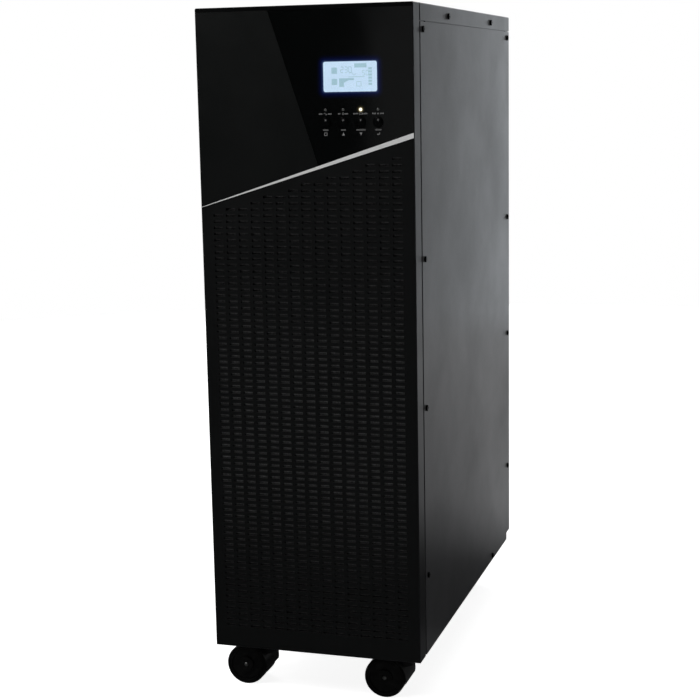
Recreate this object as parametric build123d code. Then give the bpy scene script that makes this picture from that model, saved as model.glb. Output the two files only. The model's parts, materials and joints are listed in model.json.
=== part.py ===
from build123d import *

import math
import os

# A tower uninterruptible power supply on four swivel casters.
# Millimetres. The cabinet is drawn with x across its front from the middle, y back from the bezel's
# face and z up from the cabinet's bottom edge. CABINET then sets it on its casters, over the origin,
# which is the middle of the floor area that the whole object covers.

# Overall sizes
WIDTH = 250.0
DEPTH = 520.0
HEIGHT = 739.0
CASTER_HEIGHT = 63.0
REAR_PROUD = 28.5  # the terminal cover behind the cabinet's rear edge
SHEET = 1.2  # steel of the covers and panels
FLANGE_SHEET = 1.5  # steel of the frames and the base pan
HALF = WIDTH / 2
CABINET = Location((0, -(DEPTH + REAR_PROUD) / 2, CASTER_HEIGHT))

# Front bezel and what it carries
BEZEL_DEPTH = 24.8  # it stands off the covers by a dark gap
BEZEL_WALL = 2.4
PANEL = 3.0  # thickness of the front panels
LIP = 0.8  # bezel edge that shows beside the panels
TOP_LIP = 4.6
LEDGE_DEPTH = 3.0
LEDGE_WIDTH = 5.2
GAP = 0.15  # between neighbouring front panels
FRONT_ROUND = 0.6  # edges of the bezel's face
LUG = (5.0, 10.0)  # lugs that hold the bezel off the front frame, across and high
LUG_FRONT = 12.0
LUG_Z = (60.0, 240.0, 420.0, 600.0)
BEAM_Z = (597.0, 693.0)  # beams that hold the control board
BEAM_HALF = 5.0
BEAM = 3.0
STRIP_LEFT_TOP = 519.4
STRIP_RIGHT_TOP = 600.9
STRIP_LEFT_HEIGHT = 0.5
STRIP_RIGHT_HEIGHT = 5.6
STRIP_PROUD = 0.4
FACET_TOP_X = -39.9  # where the facet line meets the top lip
FACET_BOTTOM_X = 14.9  # where it meets the strip
RAIL_HALF = 7.0  # half the width of the moulded rails behind the joints

# Display, status lights and push buttons
LCD_X = (23.1, 83.8)
LCD_Z = (645.6, 677.6)
LCD_CORNER = 2.0
WINDOW_GAP = 0.2
WINDOW_SUNK = 0.3  # the clear window's face behind the fascia's
MODULE_MARGIN = (8.0, 7.0)  # display module's frame beside and above its screen
SCREEN_MARGIN = 1.0
SCREEN_SUNK = 1.4
CONTROL_X = [24.7, 45.0, 64.9, 84.5]
LED_Z = 626.2
LED_RADIUS = 1.5
LED_LENGTH = 11.0
LED_COLLAR = 0.8
BUTTON_Z = 612.4
BUTTON_RADIUS = 5.6
BUTTON_HOLE = 6.0
BUTTON_PROUD = 1.2
BUTTON_TRAVEL = 1.0
BUTTON_ROUND = 0.5
BUTTON_FLANGE = 1.3
BUTTON_STEM = 2.5
STEM_END = 8.2  # its depth behind the bezel's face
SWITCH_HALF = 3.0
SWITCH_DEPTH = 3.6
SWITCH_PIN = 1.7
BUTTON_NAMES = ["escape_button", "up_button", "down_button", "enter_button"]
BOARD_Y = 14.0  # front face of the control board
BOARD = 1.6  # thickness of a circuit board
CONTROL_BOARD_X = (8.0, 102.0)
CONTROL_BOARD_Z = (590.0, 700.0)

# Grille
SLOT_COLUMNS = 15
SLOT_PITCH_X = 15.0
SLOT_PITCH_Z = 7.0
SLOT_WIDTH = 11.0
SLOT_HEIGHT = 2.8
SLOT_FIRST_Z = 27.0
SLOT_MARGIN = 8.8  # solid band left below the strip
FILTER = 5.8  # thickness of the foam
FILTER_GAP = 0.8

# Sheet-metal case
CASE_Y = 29.4  # front edge of the covers
FLANGE_DROP = 19.0  # side flange of the top cover
SEAM = 0.9
REAR_FACE = 518.5  # outer face of the rear panel
FOLD = 20.0  # folded edges of the frames
FOLD_OUT = HALF - SHEET - 0.2  # outer face of the folded edges
FOLD_IN = FOLD_OUT - FLANGE_SHEET
PAN_FOLD = 17.0
FRAME_FRONT = CASE_Y + 0.4
FRAME_LOW = 2.0
FRAME_HIGH = HEIGHT - 2.6
VENT_COLUMNS = 3  # openings of the front frame
VENT_ROWS = 10
VENT_PITCH = (74.0, 71.0)
VENT_HALF = (32.0, 30.0)
VENT_FIRST_Z = 44.0
TOP_COVER_ROUND = 1.6
LIP_LAP = 8.0
REAR_STEP_Y = 20.0
REAR_STEP_Z = 10.0
FRONT_SCREW_Y = 40.0
FRONT_SCREW_DROP = (28.0, 279.5, 449.0, 646.0)
REAR_SCREW_Y = 508.0
REAR_SCREW_DROP = (28.0, 273.5, 438.0, 631.0)
TOP_SCREW_Y = (160.0, 398.0)
TOP_SCREW_DROP = 10.8
BOTTOM_SCREW = (401.0, 6.2)
SCREW_RADIUS = 2.0
SCREW_HOLE = 2.2
SCREW_LENGTH = 9.0
HEAD_RADIUS = 3.5
HEAD_HEIGHT = 2.0
HEAD_ROUND = 0.9
RECESS_WIDTH = 0.8
RECESS_LENGTH = 3.6
RECESS_DEPTH = 1.1
REAR_TOP_SCREW_X = (-100.0, 100.0)

# Batteries, two layers of three by three
BATTERY = (65.0, 151.0, 94.0)
BATTERY_GAP = (8.0, 5.0)
BATTERY_FRONT = 40.0
LAYER_Z = (6.6, 121.4)
TAB_HEIGHT = 6.0
TAB = (6.4, 0.8)
TAB_INSET = (9.0, 10.0)  # from the block's side and front
CASE_CHAMFER = 1.5
LINK = (8.0, 6.0, 6.0)
TRAY_LIP = 22.0
TRAY_GAP = 2.0
SHELF_Z = (118.6, 232.0)
SHELF_LIP = 9.0

# Power section
BOARD_X = -104.0
POWER_BOARD_Y = (70.0, 480.0)
POWER_BOARD_Z = (246.0, 700.0)
POWER_BOARD = 2.0
SPACER_INSET = 12.0
HEATSINK_Z = (430.0, 570.0)
HEATSINK_Y = 110.0
HEATSINK_SIZE = (70.0, 340.0, 110.0)
HEATSINK_BASE = 9.0
FINS = 9
FIN = 3.0
TRANSISTORS = 8
TRANSISTOR_FIRST_Y = 136.0
TRANSISTOR_PITCH = 40.0
TRANSISTOR = (5.0, 16.0, 21.5)
LEG_STEPS = (-5.0, 0.0, 5.0)
CAPACITORS = 8
CAPACITOR_FIRST_Y = 100.0
CAPACITOR_PITCH = 46.0
CAPACITOR_Z = (268.0, 310.0)
CAPACITOR_RADIUS = 17.5
CAPACITOR_LENGTH = 60.0
CHOKES = 3
CHOKE_FIRST_Y = 150.0
CHOKE_PITCH = 110.0
CHOKE_Z = 366.0
CHOKE_RADII = (14.0, 34.0)
CHOKE_LENGTH = 36.0
LOGIC_X = 104.0
LOGIC_Y = (140.0, 400.0)
LOGIC_Z = (320.0, 600.0)
CHIPS = ((200.0, 380.0, 28.0), (300.0, 470.0, 20.0), (240.0, 540.0, 16.0), (350.0, 380.0, 14.0))
CHIP = 2.5

# Rear panel
FAN_X = 48.0
FAN_Z = 640.0
FAN_SIZE = 80.0
FAN_DEPTH = 25.0
FAN_BORE = 38.0
FAN_SCREW = 35.75
FAN_BACK = 517.0  # face of the frames against the rear panel
FAN_ROUND = 4.0
MOTOR_PLATE = (15.0, 2.5)  # radius and thickness
AXLE = (1.5, 12.0)
ROTOR_DEPTH = 19.0
ROTOR_GAP = 0.6
HUB_RADIUS = 15.5
BLADES = 7
BLADE = (26.0, 21.0, 1.6)
BLADE_MIDDLE = 26.0  # its distance from the axle
BLADE_PITCH = 38.0
SPOKE_TURNS = (45, 135, 225, 315)
GUARD_RINGS = (13.0, 21.0, 29.0, 37.0)
WIRE = 0.9  # half the width of the finger guard's bars
GUARD = 1.6  # its thickness
GUARD_DISC = 5.0
EYE = 4.2  # radius of the eyes under its screws
PORT_Z = 505.0
SERIAL_X = -88.0
USB_X = -50.0
EPO_X = -20.0
CARD_X = (-68.0, 68.0)
CARD_Z = (545.0, 583.0)
CARD_SCREW = 5.0  # from each end
CARD_FRAME = (10.0, 5.0)  # the cover laps its opening by this
SERIAL_CUT = (20.0, 11.0)
USB_CUT = (12.4, 11.2)
EPO_CUT = (13.0, 9.0)
BREAKER_X = (40.0, 88.0)
BREAKER_Z = 440.0
BREAKER_SIZE = (36.0, 66.0, 50.0)
BREAKER_RIM = 2.2
WELL_HALF = (8.2, 11.0)
LEVER_PIVOT_Y = 513.0
LEVER_DRUM = 8.0
LEVER_REACH = 22.0
LEVER_REST = 20.0  # degrees up from level, at the on position
LEVER_HALF = 7.8
PADDLE_HALF = (7.0, 2.8)
TERMINAL_Z = 330.0
TERMINAL_SIZE = (160.0, 20.0, 30.0)
TERMINAL_WAYS = 8
TERMINAL_STEP = 10.0  # depth of the ways' floor
WAY_HALF = 8.0
TERMINAL_SCREW = 2.5
TERMINAL_HEAD = 5.0
CORE_HOLES_X = (-60.0, -20.0, 20.0, 60.0)
CORE_HOLE = 6.0
CORE_HOLE_RISE = 24.0
COVER_SIZE = (196.0, 74.0)
COVER_TAB = 12.0
COVER_TAB_INSET = 6.0
COVER_SCREW_RISE = 20.0
COVER_ROUND = 2.0
GLAND_X = (-50.0, 50.0)
GLAND_BORE = 8.0
GLAND_BODY = 10.5
GLAND_NUT = 12.5
GLAND_Y = 534.5
GLAND_HEX = 7.0
GLAND_LOCK = 3.0
GLAND_DOME = 19.0
EARTH_X = 96.0
EARTH_Z = 250.0
EARTH_RADIUS = 3.0
EARTH_NUT = 5.7
EARTH_NUT_HEIGHT = 5.0
EARTH_OUT = 18.0
EARTH_IN = 6.0
REAR_VENTS = 9
REAR_VENT_PITCH = 22.0
REAR_VENT_HALF = (1.5, 20.0)
REAR_VENT_Z = (90.0, 150.0)

# Casters
CASTER_X = 87.0
CASTER_Y = (62.0, 460.0)
TRAIL = 17.0  # wheel centre behind the swivel axis
WHEEL_RADIUS = 24.5
WHEEL_WIDTH = 16.4
WHEEL_ROUND = 2.2
WEB_HALF = 4.2
WHEEL_GAP = 0.6
AXLE_RADIUS = 3.5
AXLE_HOLE = 3.56
PLATE_SIZE = 50.0
PLATE = 2.5
PLATE_BOLT = 18.5
PLATE_CORNER = 5.0
BOLT_RADIUS = 3.0
BOLT_HEAD = 4.5
BOLT_HEAD_HEIGHT = 2.6
BOLT_THROUGH = 4.5  # above the cabinet's bottom edge
HOOD_OUTER = 26.8
HOOD_INNER = 25.3
HOOD_HALF = 22.4
HOOD_FROM = -11.0  # degrees round the axle, from straight ahead
HOOD_TO = 112.0
NECK_RADIUS = 14.0
NECK_TOP = -5.4
NECK_FOOT = -26.0
WEB_BOSS = 9.0
RACE_RADIUS = 15.0
RACE_BOTTOM = -5.0
KINGPIN_RADIUS = 4.0
KINGPIN_HOLE = 4.05
KINGPIN_TOP = -0.6
AXLE_Z = WHEEL_RADIUS - CASTER_HEIGHT
DISH_RADII = (9.5, 19.0)
DISH_DEPTH = 1.6
GROOVE_RADII = (20.6, 22.0)
GROOVE_DEPTH = 0.6
AXLE_SHORT = 4.0  # the axle ends this far inside the wheels' faces

OUTWARD = {"right": (1, 0, 0), "left": (-1, 0, 0), "rear": (0, 1, 0)}


def block(x, y, z):
    """A box between the low and high values given for each axis."""
    sizes = [pair[1] - pair[0] for pair in (x, y, z)]
    middle = [(pair[0] + pair[1]) / 2 for pair in (x, y, z)]
    return Pos(*middle) * Box(*sizes)


def rod(radius, at, axis, length):
    """A cylinder that starts at a point and runs along an axis."""
    base = (Align.CENTER, Align.CENTER, Align.MIN)
    return Plane(origin=at, z_dir=axis).location * Cylinder(radius, length, align=base)


def plate_xz(points, y_front, y_back):
    """A flat plate whose outline is given as (x, z) points."""
    outline = Polyline(*[(x, y_front, z) for x, z in points], close=True)
    return extrude(Face(Wire(outline.edges())), amount=y_back - y_front, dir=(0, 1, 0))


def mirrored(shape):
    """The same piece on the other side of the cabinet."""
    return mirror(shape, about=Plane.YZ)


def group(shapes):
    """Several separate solids as one shape."""
    return Compound(children=[solid for shape in shapes for solid in shape.solids()])


def save(name, shape):
    """Set a piece in its place on the casters and write it."""
    export_step(CABINET * shape, f"parts/{name}.step")


def strip_top(x):
    """Height of the strip's upper edge."""
    share = (x + HALF) / WIDTH
    return STRIP_LEFT_TOP + share * (STRIP_RIGHT_TOP - STRIP_LEFT_TOP)


def strip_bottom(x):
    """Height of the strip's lower edge."""
    share = (x + HALF) / WIDTH
    return strip_top(x) - STRIP_LEFT_HEIGHT - share * (STRIP_RIGHT_HEIGHT - STRIP_LEFT_HEIGHT)


PANEL_HALF = HALF - LIP - GAP
PANEL_TOP = HEIGHT - TOP_LIP - GAP
PANEL_BOTTOM = LIP + GAP


def band(x0, z0, x1, z1, half, y_front, y_back):
    """A straight rail between two points of the front plane."""
    length = math.hypot(x1 - x0, z1 - z0)
    turn = math.degrees(math.atan2(z1 - z0, x1 - x0))
    middle = Location(((x0 + x1) / 2, (y_front + y_back) / 2, (z0 + z1) / 2), (0, -turn, 0))
    return middle * Box(length, y_back - y_front, 2 * half)


# Front


def front_bezel():
    outer = block((-HALF, HALF), (0, BEZEL_DEPTH), (0, HEIGHT))
    outer = fillet(outer.edges().filter_by(Axis.Y).group_by(Axis.Z)[-1], TOP_COVER_ROUND)
    outer = fillet(outer.faces().sort_by(Axis.Y)[0].edges(), FRONT_ROUND)
    pocket = block((-HALF + LIP, HALF - LIP), (-1, PANEL), (LIP, HEIGHT - TOP_LIP))
    inside = HALF - LIP - LEDGE_WIDTH
    ledge = block((-inside, inside), (0, BEZEL_DEPTH), (LEDGE_WIDTH, HEIGHT - TOP_LIP - LEDGE_WIDTH))
    wall = HALF - BEZEL_WALL
    back = (PANEL + LEDGE_DEPTH, BEZEL_DEPTH + 1)
    cavity = block((-wall, wall), back, (BEZEL_WALL, HEIGHT - BEZEL_WALL))
    shell = outer - pocket - ledge - cavity
    for z in LUG_Z:
        lug = block((wall - LUG[0], wall), (LUG_FRONT, FRAME_FRONT), (z - LUG[1] / 2, z + LUG[1] / 2))
        shell += lug
        shell += mirrored(lug)
    rails_y = (PANEL, PANEL + LEDGE_DEPTH)
    middle = [strip_top(x) - RAIL_HALF / 3 for x in (-inside, inside)]
    slanted = band(-inside, middle[0], inside, middle[1], RAIL_HALF, *rails_y)
    start = (FACET_BOTTOM_X, strip_top(FACET_BOTTOM_X))
    facet = band(*start, FACET_TOP_X, HEIGHT - TOP_LIP - LEDGE_WIDTH / 2, RAIL_HALF / 2, *rails_y)
    back_y = BOARD_Y + BOARD
    beams = [block((-wall, wall), (back_y, back_y + BEAM), (z - BEAM_HALF, z + BEAM_HALF)) for z in BEAM_Z]
    return shell + slanted + facet + beams[0] + beams[1]


def grille_panel():
    left, right = -PANEL_HALF, PANEL_HALF
    top = [(right, strip_bottom(right) - GAP), (left, strip_bottom(left) - GAP)]
    outline = Polyline(*[(x, z) for x, z in [(left, PANEL_BOTTOM), (right, PANEL_BOTTOM)] + top], close=True)
    slots = []
    for column in range(SLOT_COLUMNS):
        x = (column - (SLOT_COLUMNS - 1) / 2) * SLOT_PITCH_X
        limit = strip_bottom(x - SLOT_WIDTH / 2) - SLOT_MARGIN
        rows = int((limit - SLOT_FIRST_Z - SLOT_HEIGHT / 2) / SLOT_PITCH_Z) + 1
        for row in range(rows):
            z = SLOT_FIRST_Z + row * SLOT_PITCH_Z
            slots.append(Wire.make_rect(SLOT_WIDTH, SLOT_HEIGHT).moved(Location((x, z, 0))))
    face = Face(Wire(outline.edges()), slots)
    # drawn flat with z as its second axis, then stood up facing forwards
    return Rot(90, 0, 0) * extrude(face, amount=-PANEL)


def facet_panel():
    joint = (FACET_BOTTOM_X - GAP / 2, strip_top(FACET_BOTTOM_X) + GAP)
    points = [
        (-PANEL_HALF, strip_top(-PANEL_HALF) + GAP),
        joint,
        (FACET_TOP_X - GAP / 2, PANEL_TOP),
        (-PANEL_HALF, PANEL_TOP),
    ]
    return plate_xz(points, 0, PANEL)


def rounded_window(margin, y_front, y_back):
    """The display opening, grown by a margin."""
    x = (LCD_X[0] - margin, LCD_X[1] + margin)
    z = (LCD_Z[0] - margin, LCD_Z[1] + margin)
    shape = block(x, (y_front, y_back), z)
    return fillet(shape.edges().filter_by(Axis.Y), LCD_CORNER)


def display_fascia():
    points = [
        (FACET_BOTTOM_X + GAP / 2, strip_top(FACET_BOTTOM_X) + GAP),
        (PANEL_HALF, strip_top(PANEL_HALF) + GAP),
        (PANEL_HALF, PANEL_TOP),
        (FACET_TOP_X + GAP / 2, PANEL_TOP),
    ]
    plate = plate_xz(points, 0, PANEL) - rounded_window(WINDOW_GAP, -1, PANEL + 1)
    for x in CONTROL_X:
        plate -= rod(LED_RADIUS + 0.05, (x, -1, LED_Z), (0, 1, 0), PANEL + 2)
        plate -= rod(BUTTON_HOLE, (x, -1, BUTTON_Z), (0, 1, 0), PANEL + 2)
    return plate


def silver_trim():
    left, right = -PANEL_HALF, PANEL_HALF
    points = [
        (left, strip_bottom(left)),
        (right, strip_bottom(right)),
        (right, strip_top(right)),
        (left, strip_top(left)),
    ]
    return plate_xz(points, -STRIP_PROUD, PANEL)


def lcd_window():
    return rounded_window(0, WINDOW_SUNK, PANEL)


def lcd_module():
    x = (LCD_X[0] - MODULE_MARGIN[0], LCD_X[1] + MODULE_MARGIN[0])
    z = (LCD_Z[0] - MODULE_MARGIN[1], LCD_Z[1] + MODULE_MARGIN[1])
    screen_x = (LCD_X[0] - SCREEN_MARGIN, LCD_X[1] + SCREEN_MARGIN)
    screen_z = (LCD_Z[0] - SCREEN_MARGIN, LCD_Z[1] + SCREEN_MARGIN)
    return block(x, (PANEL + 0.4, BOARD_Y), z) - block(screen_x, (PANEL, PANEL + SCREEN_SUNK), screen_z)


def led_lenses():
    lenses = []
    for x in CONTROL_X:
        pipe = rod(LED_RADIUS, (x, 0, LED_Z), (0, 1, 0), LED_LENGTH)
        collar = rod(LED_RADIUS + LED_COLLAR, (x, PANEL, LED_Z), (0, 1, 0), 1.2)
        lenses.append(pipe + collar)
    return group(lenses)


def push_button(x):
    """A round cap with a retaining flange and a stem that ends short of its switch."""
    flange_front = PANEL + 0.3
    flange_back = flange_front + BUTTON_FLANGE
    cap = rod(BUTTON_RADIUS, (x, -BUTTON_PROUD, BUTTON_Z), (0, 1, 0), BUTTON_PROUD + flange_back)
    cap = fillet(cap.edges().group_by(Axis.Y)[0], BUTTON_ROUND)
    flange = rod(BUTTON_HOLE + 1, (x, flange_front, BUTTON_Z), (0, 1, 0), BUTTON_FLANGE)
    stem = rod(BUTTON_STEM, (x, flange_back, BUTTON_Z), (0, 1, 0), STEM_END - flange_back)
    return cap + flange + stem


def control_board():
    return block(CONTROL_BOARD_X, (BOARD_Y, BOARD_Y + BOARD), CONTROL_BOARD_Z)


def board_switches():
    """Push switches whose pins a pressed button's stem just clears."""
    switches = []
    z = (BUTTON_Z - SWITCH_HALF, BUTTON_Z + SWITCH_HALF)
    pin_front = STEM_END + BUTTON_TRAVEL + 0.25
    for x in CONTROL_X:
        body = block((x - SWITCH_HALF, x + SWITCH_HALF), (BOARD_Y - SWITCH_DEPTH, BOARD_Y), z)
        pin = rod(SWITCH_PIN, (x, pin_front, BUTTON_Z), (0, 1, 0), BOARD_Y - pin_front - 1)
        switches.append(body + pin)
    return group(switches)


def dust_filter():
    side = HALF - LIP - LEDGE_WIDTH - FILTER_GAP
    points = [
        (-side, LEDGE_WIDTH + FILTER_GAP),
        (side, LEDGE_WIDTH + FILTER_GAP),
        (side, strip_top(side) - 2 * RAIL_HALF + 1),
        (-side, strip_top(-side) - 2 * RAIL_HALF + 1),
    ]
    return plate_xz(points, PANEL + 0.2, PANEL + 0.2 + FILTER)


# Sheet-metal case


def side_screw_points():
    """(y, z) of the screws that go in from each side."""
    points = [(FRONT_SCREW_Y, HEIGHT - drop) for drop in FRONT_SCREW_DROP]
    points += [(REAR_SCREW_Y, HEIGHT - drop) for drop in REAR_SCREW_DROP]
    points += [(y, HEIGHT - TOP_SCREW_DROP) for y in TOP_SCREW_Y]
    points.append(BOTTOM_SCREW)
    return points


def drill_sides(shape):
    """Cut the screw holes of both sides."""
    for y, z in side_screw_points():
        shape -= rod(SCREW_HOLE, (-HALF - 5, y, z), (1, 0, 0), WIDTH + 10)
    return shape


def front_frame():
    y = (FRAME_FRONT, FRAME_FRONT + SHEET)
    z = (FRAME_LOW, FRAME_HIGH)
    sheet = block((-FOLD_OUT, FOLD_OUT), y, z)
    half_x, half_z = VENT_HALF
    for column in range(VENT_COLUMNS):
        for row in range(VENT_ROWS):
            at_x = (column - (VENT_COLUMNS - 1) / 2) * VENT_PITCH[0]
            at_z = VENT_FIRST_Z + row * VENT_PITCH[1]
            vent_z = (at_z - half_z, at_z + half_z)
            sheet -= block((at_x - half_x, at_x + half_x), (y[0] - 1, y[1] + 1), vent_z)
    fold = block((FOLD_IN, FOLD_OUT), (y[0], y[0] + FOLD), z)
    return drill_sides(sheet + fold + mirrored(fold))


def top_cover():
    outer = block((-HALF, HALF), (CASE_Y, DEPTH), (HEIGHT - FLANGE_DROP, HEIGHT))
    outer = fillet(outer.edges().filter_by(Axis.Y).group_by(Axis.Z)[-1], TOP_COVER_ROUND)
    hollow = block((-HALF + SHEET, HALF - SHEET), (0, REAR_FACE + 0.3), (0, HEIGHT - SHEET))
    cover = drill_sides(outer - hollow)
    for x in REAR_TOP_SCREW_X:
        cover -= rod(SCREW_HOLE, (x, DEPTH - 5, HEIGHT - TOP_SCREW_DROP), (0, 1, 0), 10)
    return cover


def side_panel():
    """Right-hand side, with a lip that reaches up inside the top cover."""
    top = HEIGHT - FLANGE_DROP - SEAM
    sheet = block((HALF - SHEET, HALF), (CASE_Y, DEPTH), (0, top))
    step = block((0, HALF + 1), (DEPTH - REAR_STEP_Y, DEPTH + 1), (-1, REAR_STEP_Z))
    lip_y = (CASE_Y + FOLD + 6, DEPTH - FOLD - 6)
    lip = block((HALF - 2 * SHEET, HALF - SHEET), lip_y, (top - LIP_LAP, HEIGHT - LIP_LAP / 2))
    return drill_sides(sheet - step + lip)


def caster_points():
    """(x, y) of the swivel axes, front ones first."""
    return [(x, y) for y in CASTER_Y for x in (-CASTER_X, CASTER_X)]


def base_pan():
    """Floor sheet with upturned sides."""
    end = DEPTH - REAR_STEP_Y - 0.4
    sheet = block((-FOLD_OUT, FOLD_OUT), (CASE_Y + 2, end), (0, FLANGE_SHEET))
    fold = block((FOLD_IN, FOLD_OUT), (CASE_Y + FOLD + 6, end - FOLD - 6), (0, PAN_FOLD))
    pan = drill_sides(sheet + fold + mirrored(fold))
    for x, y in caster_points():
        for dx in (-PLATE_BOLT, PLATE_BOLT):
            for dy in (-PLATE_BOLT, PLATE_BOLT):
                pan -= rod(BOLT_RADIUS + 0.1, (x + dx, y + dy, -1), (0, 0, 1), 5)
    return pan


def rear_panel():
    y = (REAR_FACE - SHEET, REAR_FACE)
    z = (REAR_STEP_Z + 0.6, HEIGHT - SHEET - 0.4)
    sheet = block((-FOLD_OUT, FOLD_OUT), y, z)
    fold = block((FOLD_IN, FOLD_OUT), (REAR_FACE - FOLD, REAR_FACE), z)
    panel = drill_sides(sheet + fold + mirrored(fold))
    through = (y[0] - 1, y[1] + 1)
    for x in (-FAN_X, FAN_X):
        panel -= rod(FAN_BORE, (x, through[0], FAN_Z), (0, 1, 0), 5)
    card_x = (CARD_X[0] + CARD_FRAME[0], CARD_X[1] - CARD_FRAME[0])
    panel -= block(card_x, through, (CARD_Z[0] + CARD_FRAME[1], CARD_Z[1] - CARD_FRAME[1]))
    for x, (wide, tall) in ((SERIAL_X, SERIAL_CUT), (USB_X, USB_CUT), (EPO_X, EPO_CUT)):
        panel -= block((x - wide / 2, x + wide / 2), through, (PORT_Z - tall / 2, PORT_Z + tall / 2))
    wide, tall = BREAKER_SIZE[0] / 2 - 2, BREAKER_SIZE[2] / 2 - 2
    for x in BREAKER_X:
        panel -= block((x - wide - 0.2, x + wide + 0.2), through, (BREAKER_Z - tall, BREAKER_Z + tall))
    for x in CORE_HOLES_X:
        panel -= rod(CORE_HOLE, (x, through[0], TERMINAL_Z + CORE_HOLE_RISE), (0, 1, 0), 5)
    half_x, half_z = REAR_VENT_HALF
    for column in range(REAR_VENTS):
        x = (column - (REAR_VENTS - 1) / 2) * REAR_VENT_PITCH
        for z in REAR_VENT_Z:
            panel -= block((x - half_x, x + half_x), through, (z - half_z, z + half_z))
    for x, z in rear_screw_points():
        panel -= rod(SCREW_HOLE, (x, through[0], z), (0, 1, 0), 5)
    return panel - rod(EARTH_RADIUS + 0.2, (EARTH_X, through[0], EARTH_Z), (0, 1, 0), 5)


def shelf(z):
    """A cross shelf with a turned-down edge at the front and the rear."""
    side = FOLD_IN - 0.6
    y = (CASE_Y + 6, REAR_FACE - FOLD - 2)
    sheet = block((-side, side), y, (z, z + SHEET))
    lips = [block((-side, side), (end, end + SHEET), (z - SHELF_LIP, z)) for end in (y[0], y[1] - SHEET)]
    return sheet + lips[0] + lips[1]


# Batteries


def battery_places():
    """(x, y) of the blocks' middles in one layer."""
    step_x = BATTERY[0] + BATTERY_GAP[0]
    step_y = BATTERY[1] + BATTERY_GAP[1]
    first = BATTERY_FRONT + BATTERY[1] / 2
    return [(step_x * (i - 1), first + step_y * j) for j in range(3) for i in range(3)]


def tab_places(x, y):
    """(x, y) of one block's two terminals."""
    reach = BATTERY[0] / 2 - TAB_INSET[0]
    return [(x + side * reach, y - BATTERY[1] / 2 + TAB_INSET[1]) for side in (-1, 1)]


def battery_trays():
    trays = []
    width = 1.5 * BATTERY[0] + BATTERY_GAP[0] + 3
    length = 3 * BATTERY[1] + 2 * BATTERY_GAP[1]
    y = (BATTERY_FRONT - TRAY_GAP, BATTERY_FRONT + length + TRAY_GAP)
    for z in LAYER_Z:
        floor = z - 0.2
        outer = block((-width, width), y, (floor - SHEET, floor - SHEET + TRAY_LIP))
        inner_y = (y[0] + SHEET, y[1] - SHEET)
        trays.append(outer - block((-width + SHEET, width - SHEET), inner_y, (floor, floor + 2 * TRAY_LIP)))
    return group(trays)


def battery_blocks():
    blocks = []
    for z in LAYER_Z:
        for x, y in battery_places():
            half_x, half_y = BATTERY[0] / 2, BATTERY[1] / 2
            case = block((x - half_x, x + half_x), (y - half_y, y + half_y), (z, z + BATTERY[2]))
            case = chamfer(case.edges().filter_by(Axis.Z), CASE_CHAMFER)
            top = z + BATTERY[2]
            for tab_x, tab_y in tab_places(x, y):
                tab = Box(*TAB, TAB_HEIGHT + 1)
                case += Pos(tab_x, tab_y, top + (TAB_HEIGHT - 1) / 2) * tab
            blocks.append(case)
    return group(blocks)


def battery_links():
    """Insulated bars that join each block's terminal to the next one's."""
    links = []
    for z in LAYER_Z:
        places = battery_places()
        low = z + BATTERY[2] + 1
        for (x0, y0), (x1, _) in zip(places, places[1:]):
            if x1 < x0:
                continue
            start = tab_places(x0, y0)[1]
            end = tab_places(x1, y0)[0]
            middle = Pos((start[0] + end[0]) / 2, start[1], low + LINK[2] / 2)
            bar = middle * Box(end[0] - start[0] + LINK[0], LINK[1], LINK[2])
            for x in (start[0], end[0]):
                bar -= Pos(x, start[1], low + LINK[2] / 2) * Box(TAB[0] + 0.2, TAB[1] + 0.2, LINK[2] + 2)
            links.append(bar)
    return group(links)


# Power section


def power_board():
    """Upright board on four spacers from the left side panel."""
    board = block((BOARD_X, BOARD_X + POWER_BOARD), POWER_BOARD_Y, POWER_BOARD_Z)
    spacer = BOARD_X + HALF - 2 * SHEET - 0.2
    for y in (POWER_BOARD_Y[0] + SPACER_INSET, POWER_BOARD_Y[1] - SPACER_INSET):
        for z in (POWER_BOARD_Z[0] + SPACER_INSET, POWER_BOARD_Z[1] - SPACER_INSET):
            board += rod(4, (BOARD_X, y, z), (-1, 0, 0), spacer)
    return board


def heatsinks():
    sinks = []
    wide, long, tall = HEATSINK_SIZE
    x = BOARD_X + POWER_BOARD
    y = (HEATSINK_Y, HEATSINK_Y + long)
    pitch = (tall - FIN) / (FINS - 1)
    for z in HEATSINK_Z:
        sink = block((x, x + HEATSINK_BASE), y, (z, z + tall))
        for fin in range(FINS):
            at = z + fin * pitch
            sink += block((x, x + wide), y, (at, at + FIN))
        sinks.append(sink)
    return group(sinks)


def transistors():
    """A row of three-legged packages below each heatsink."""
    deep, wide, tall = TRANSISTOR
    x = BOARD_X + POWER_BOARD + 1
    devices = []
    for z in HEATSINK_Z:
        low = z - tall - 0.5
        for i in range(TRANSISTORS):
            y = TRANSISTOR_FIRST_Y + i * TRANSISTOR_PITCH
            device = block((x, x + deep), (y - wide / 2, y + wide / 2), (low, low + tall))
            for step in LEG_STEPS:
                device += block((x + 1, x + 1.8), (y + step - 0.6, y + step + 0.6), (low - 6, low + 1))
            devices.append(device)
    return group(devices)


def bus_capacitors():
    cans = []
    for z in CAPACITOR_Z:
        for i in range(CAPACITORS):
            at = (BOARD_X + POWER_BOARD, CAPACITOR_FIRST_Y + i * CAPACITOR_PITCH, z)
            can = rod(CAPACITOR_RADIUS, at, (1, 0, 0), CAPACITOR_LENGTH)
            cans.append(fillet(can.edges().group_by(Axis.X)[-1], 2))
    return group(cans)


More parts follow.
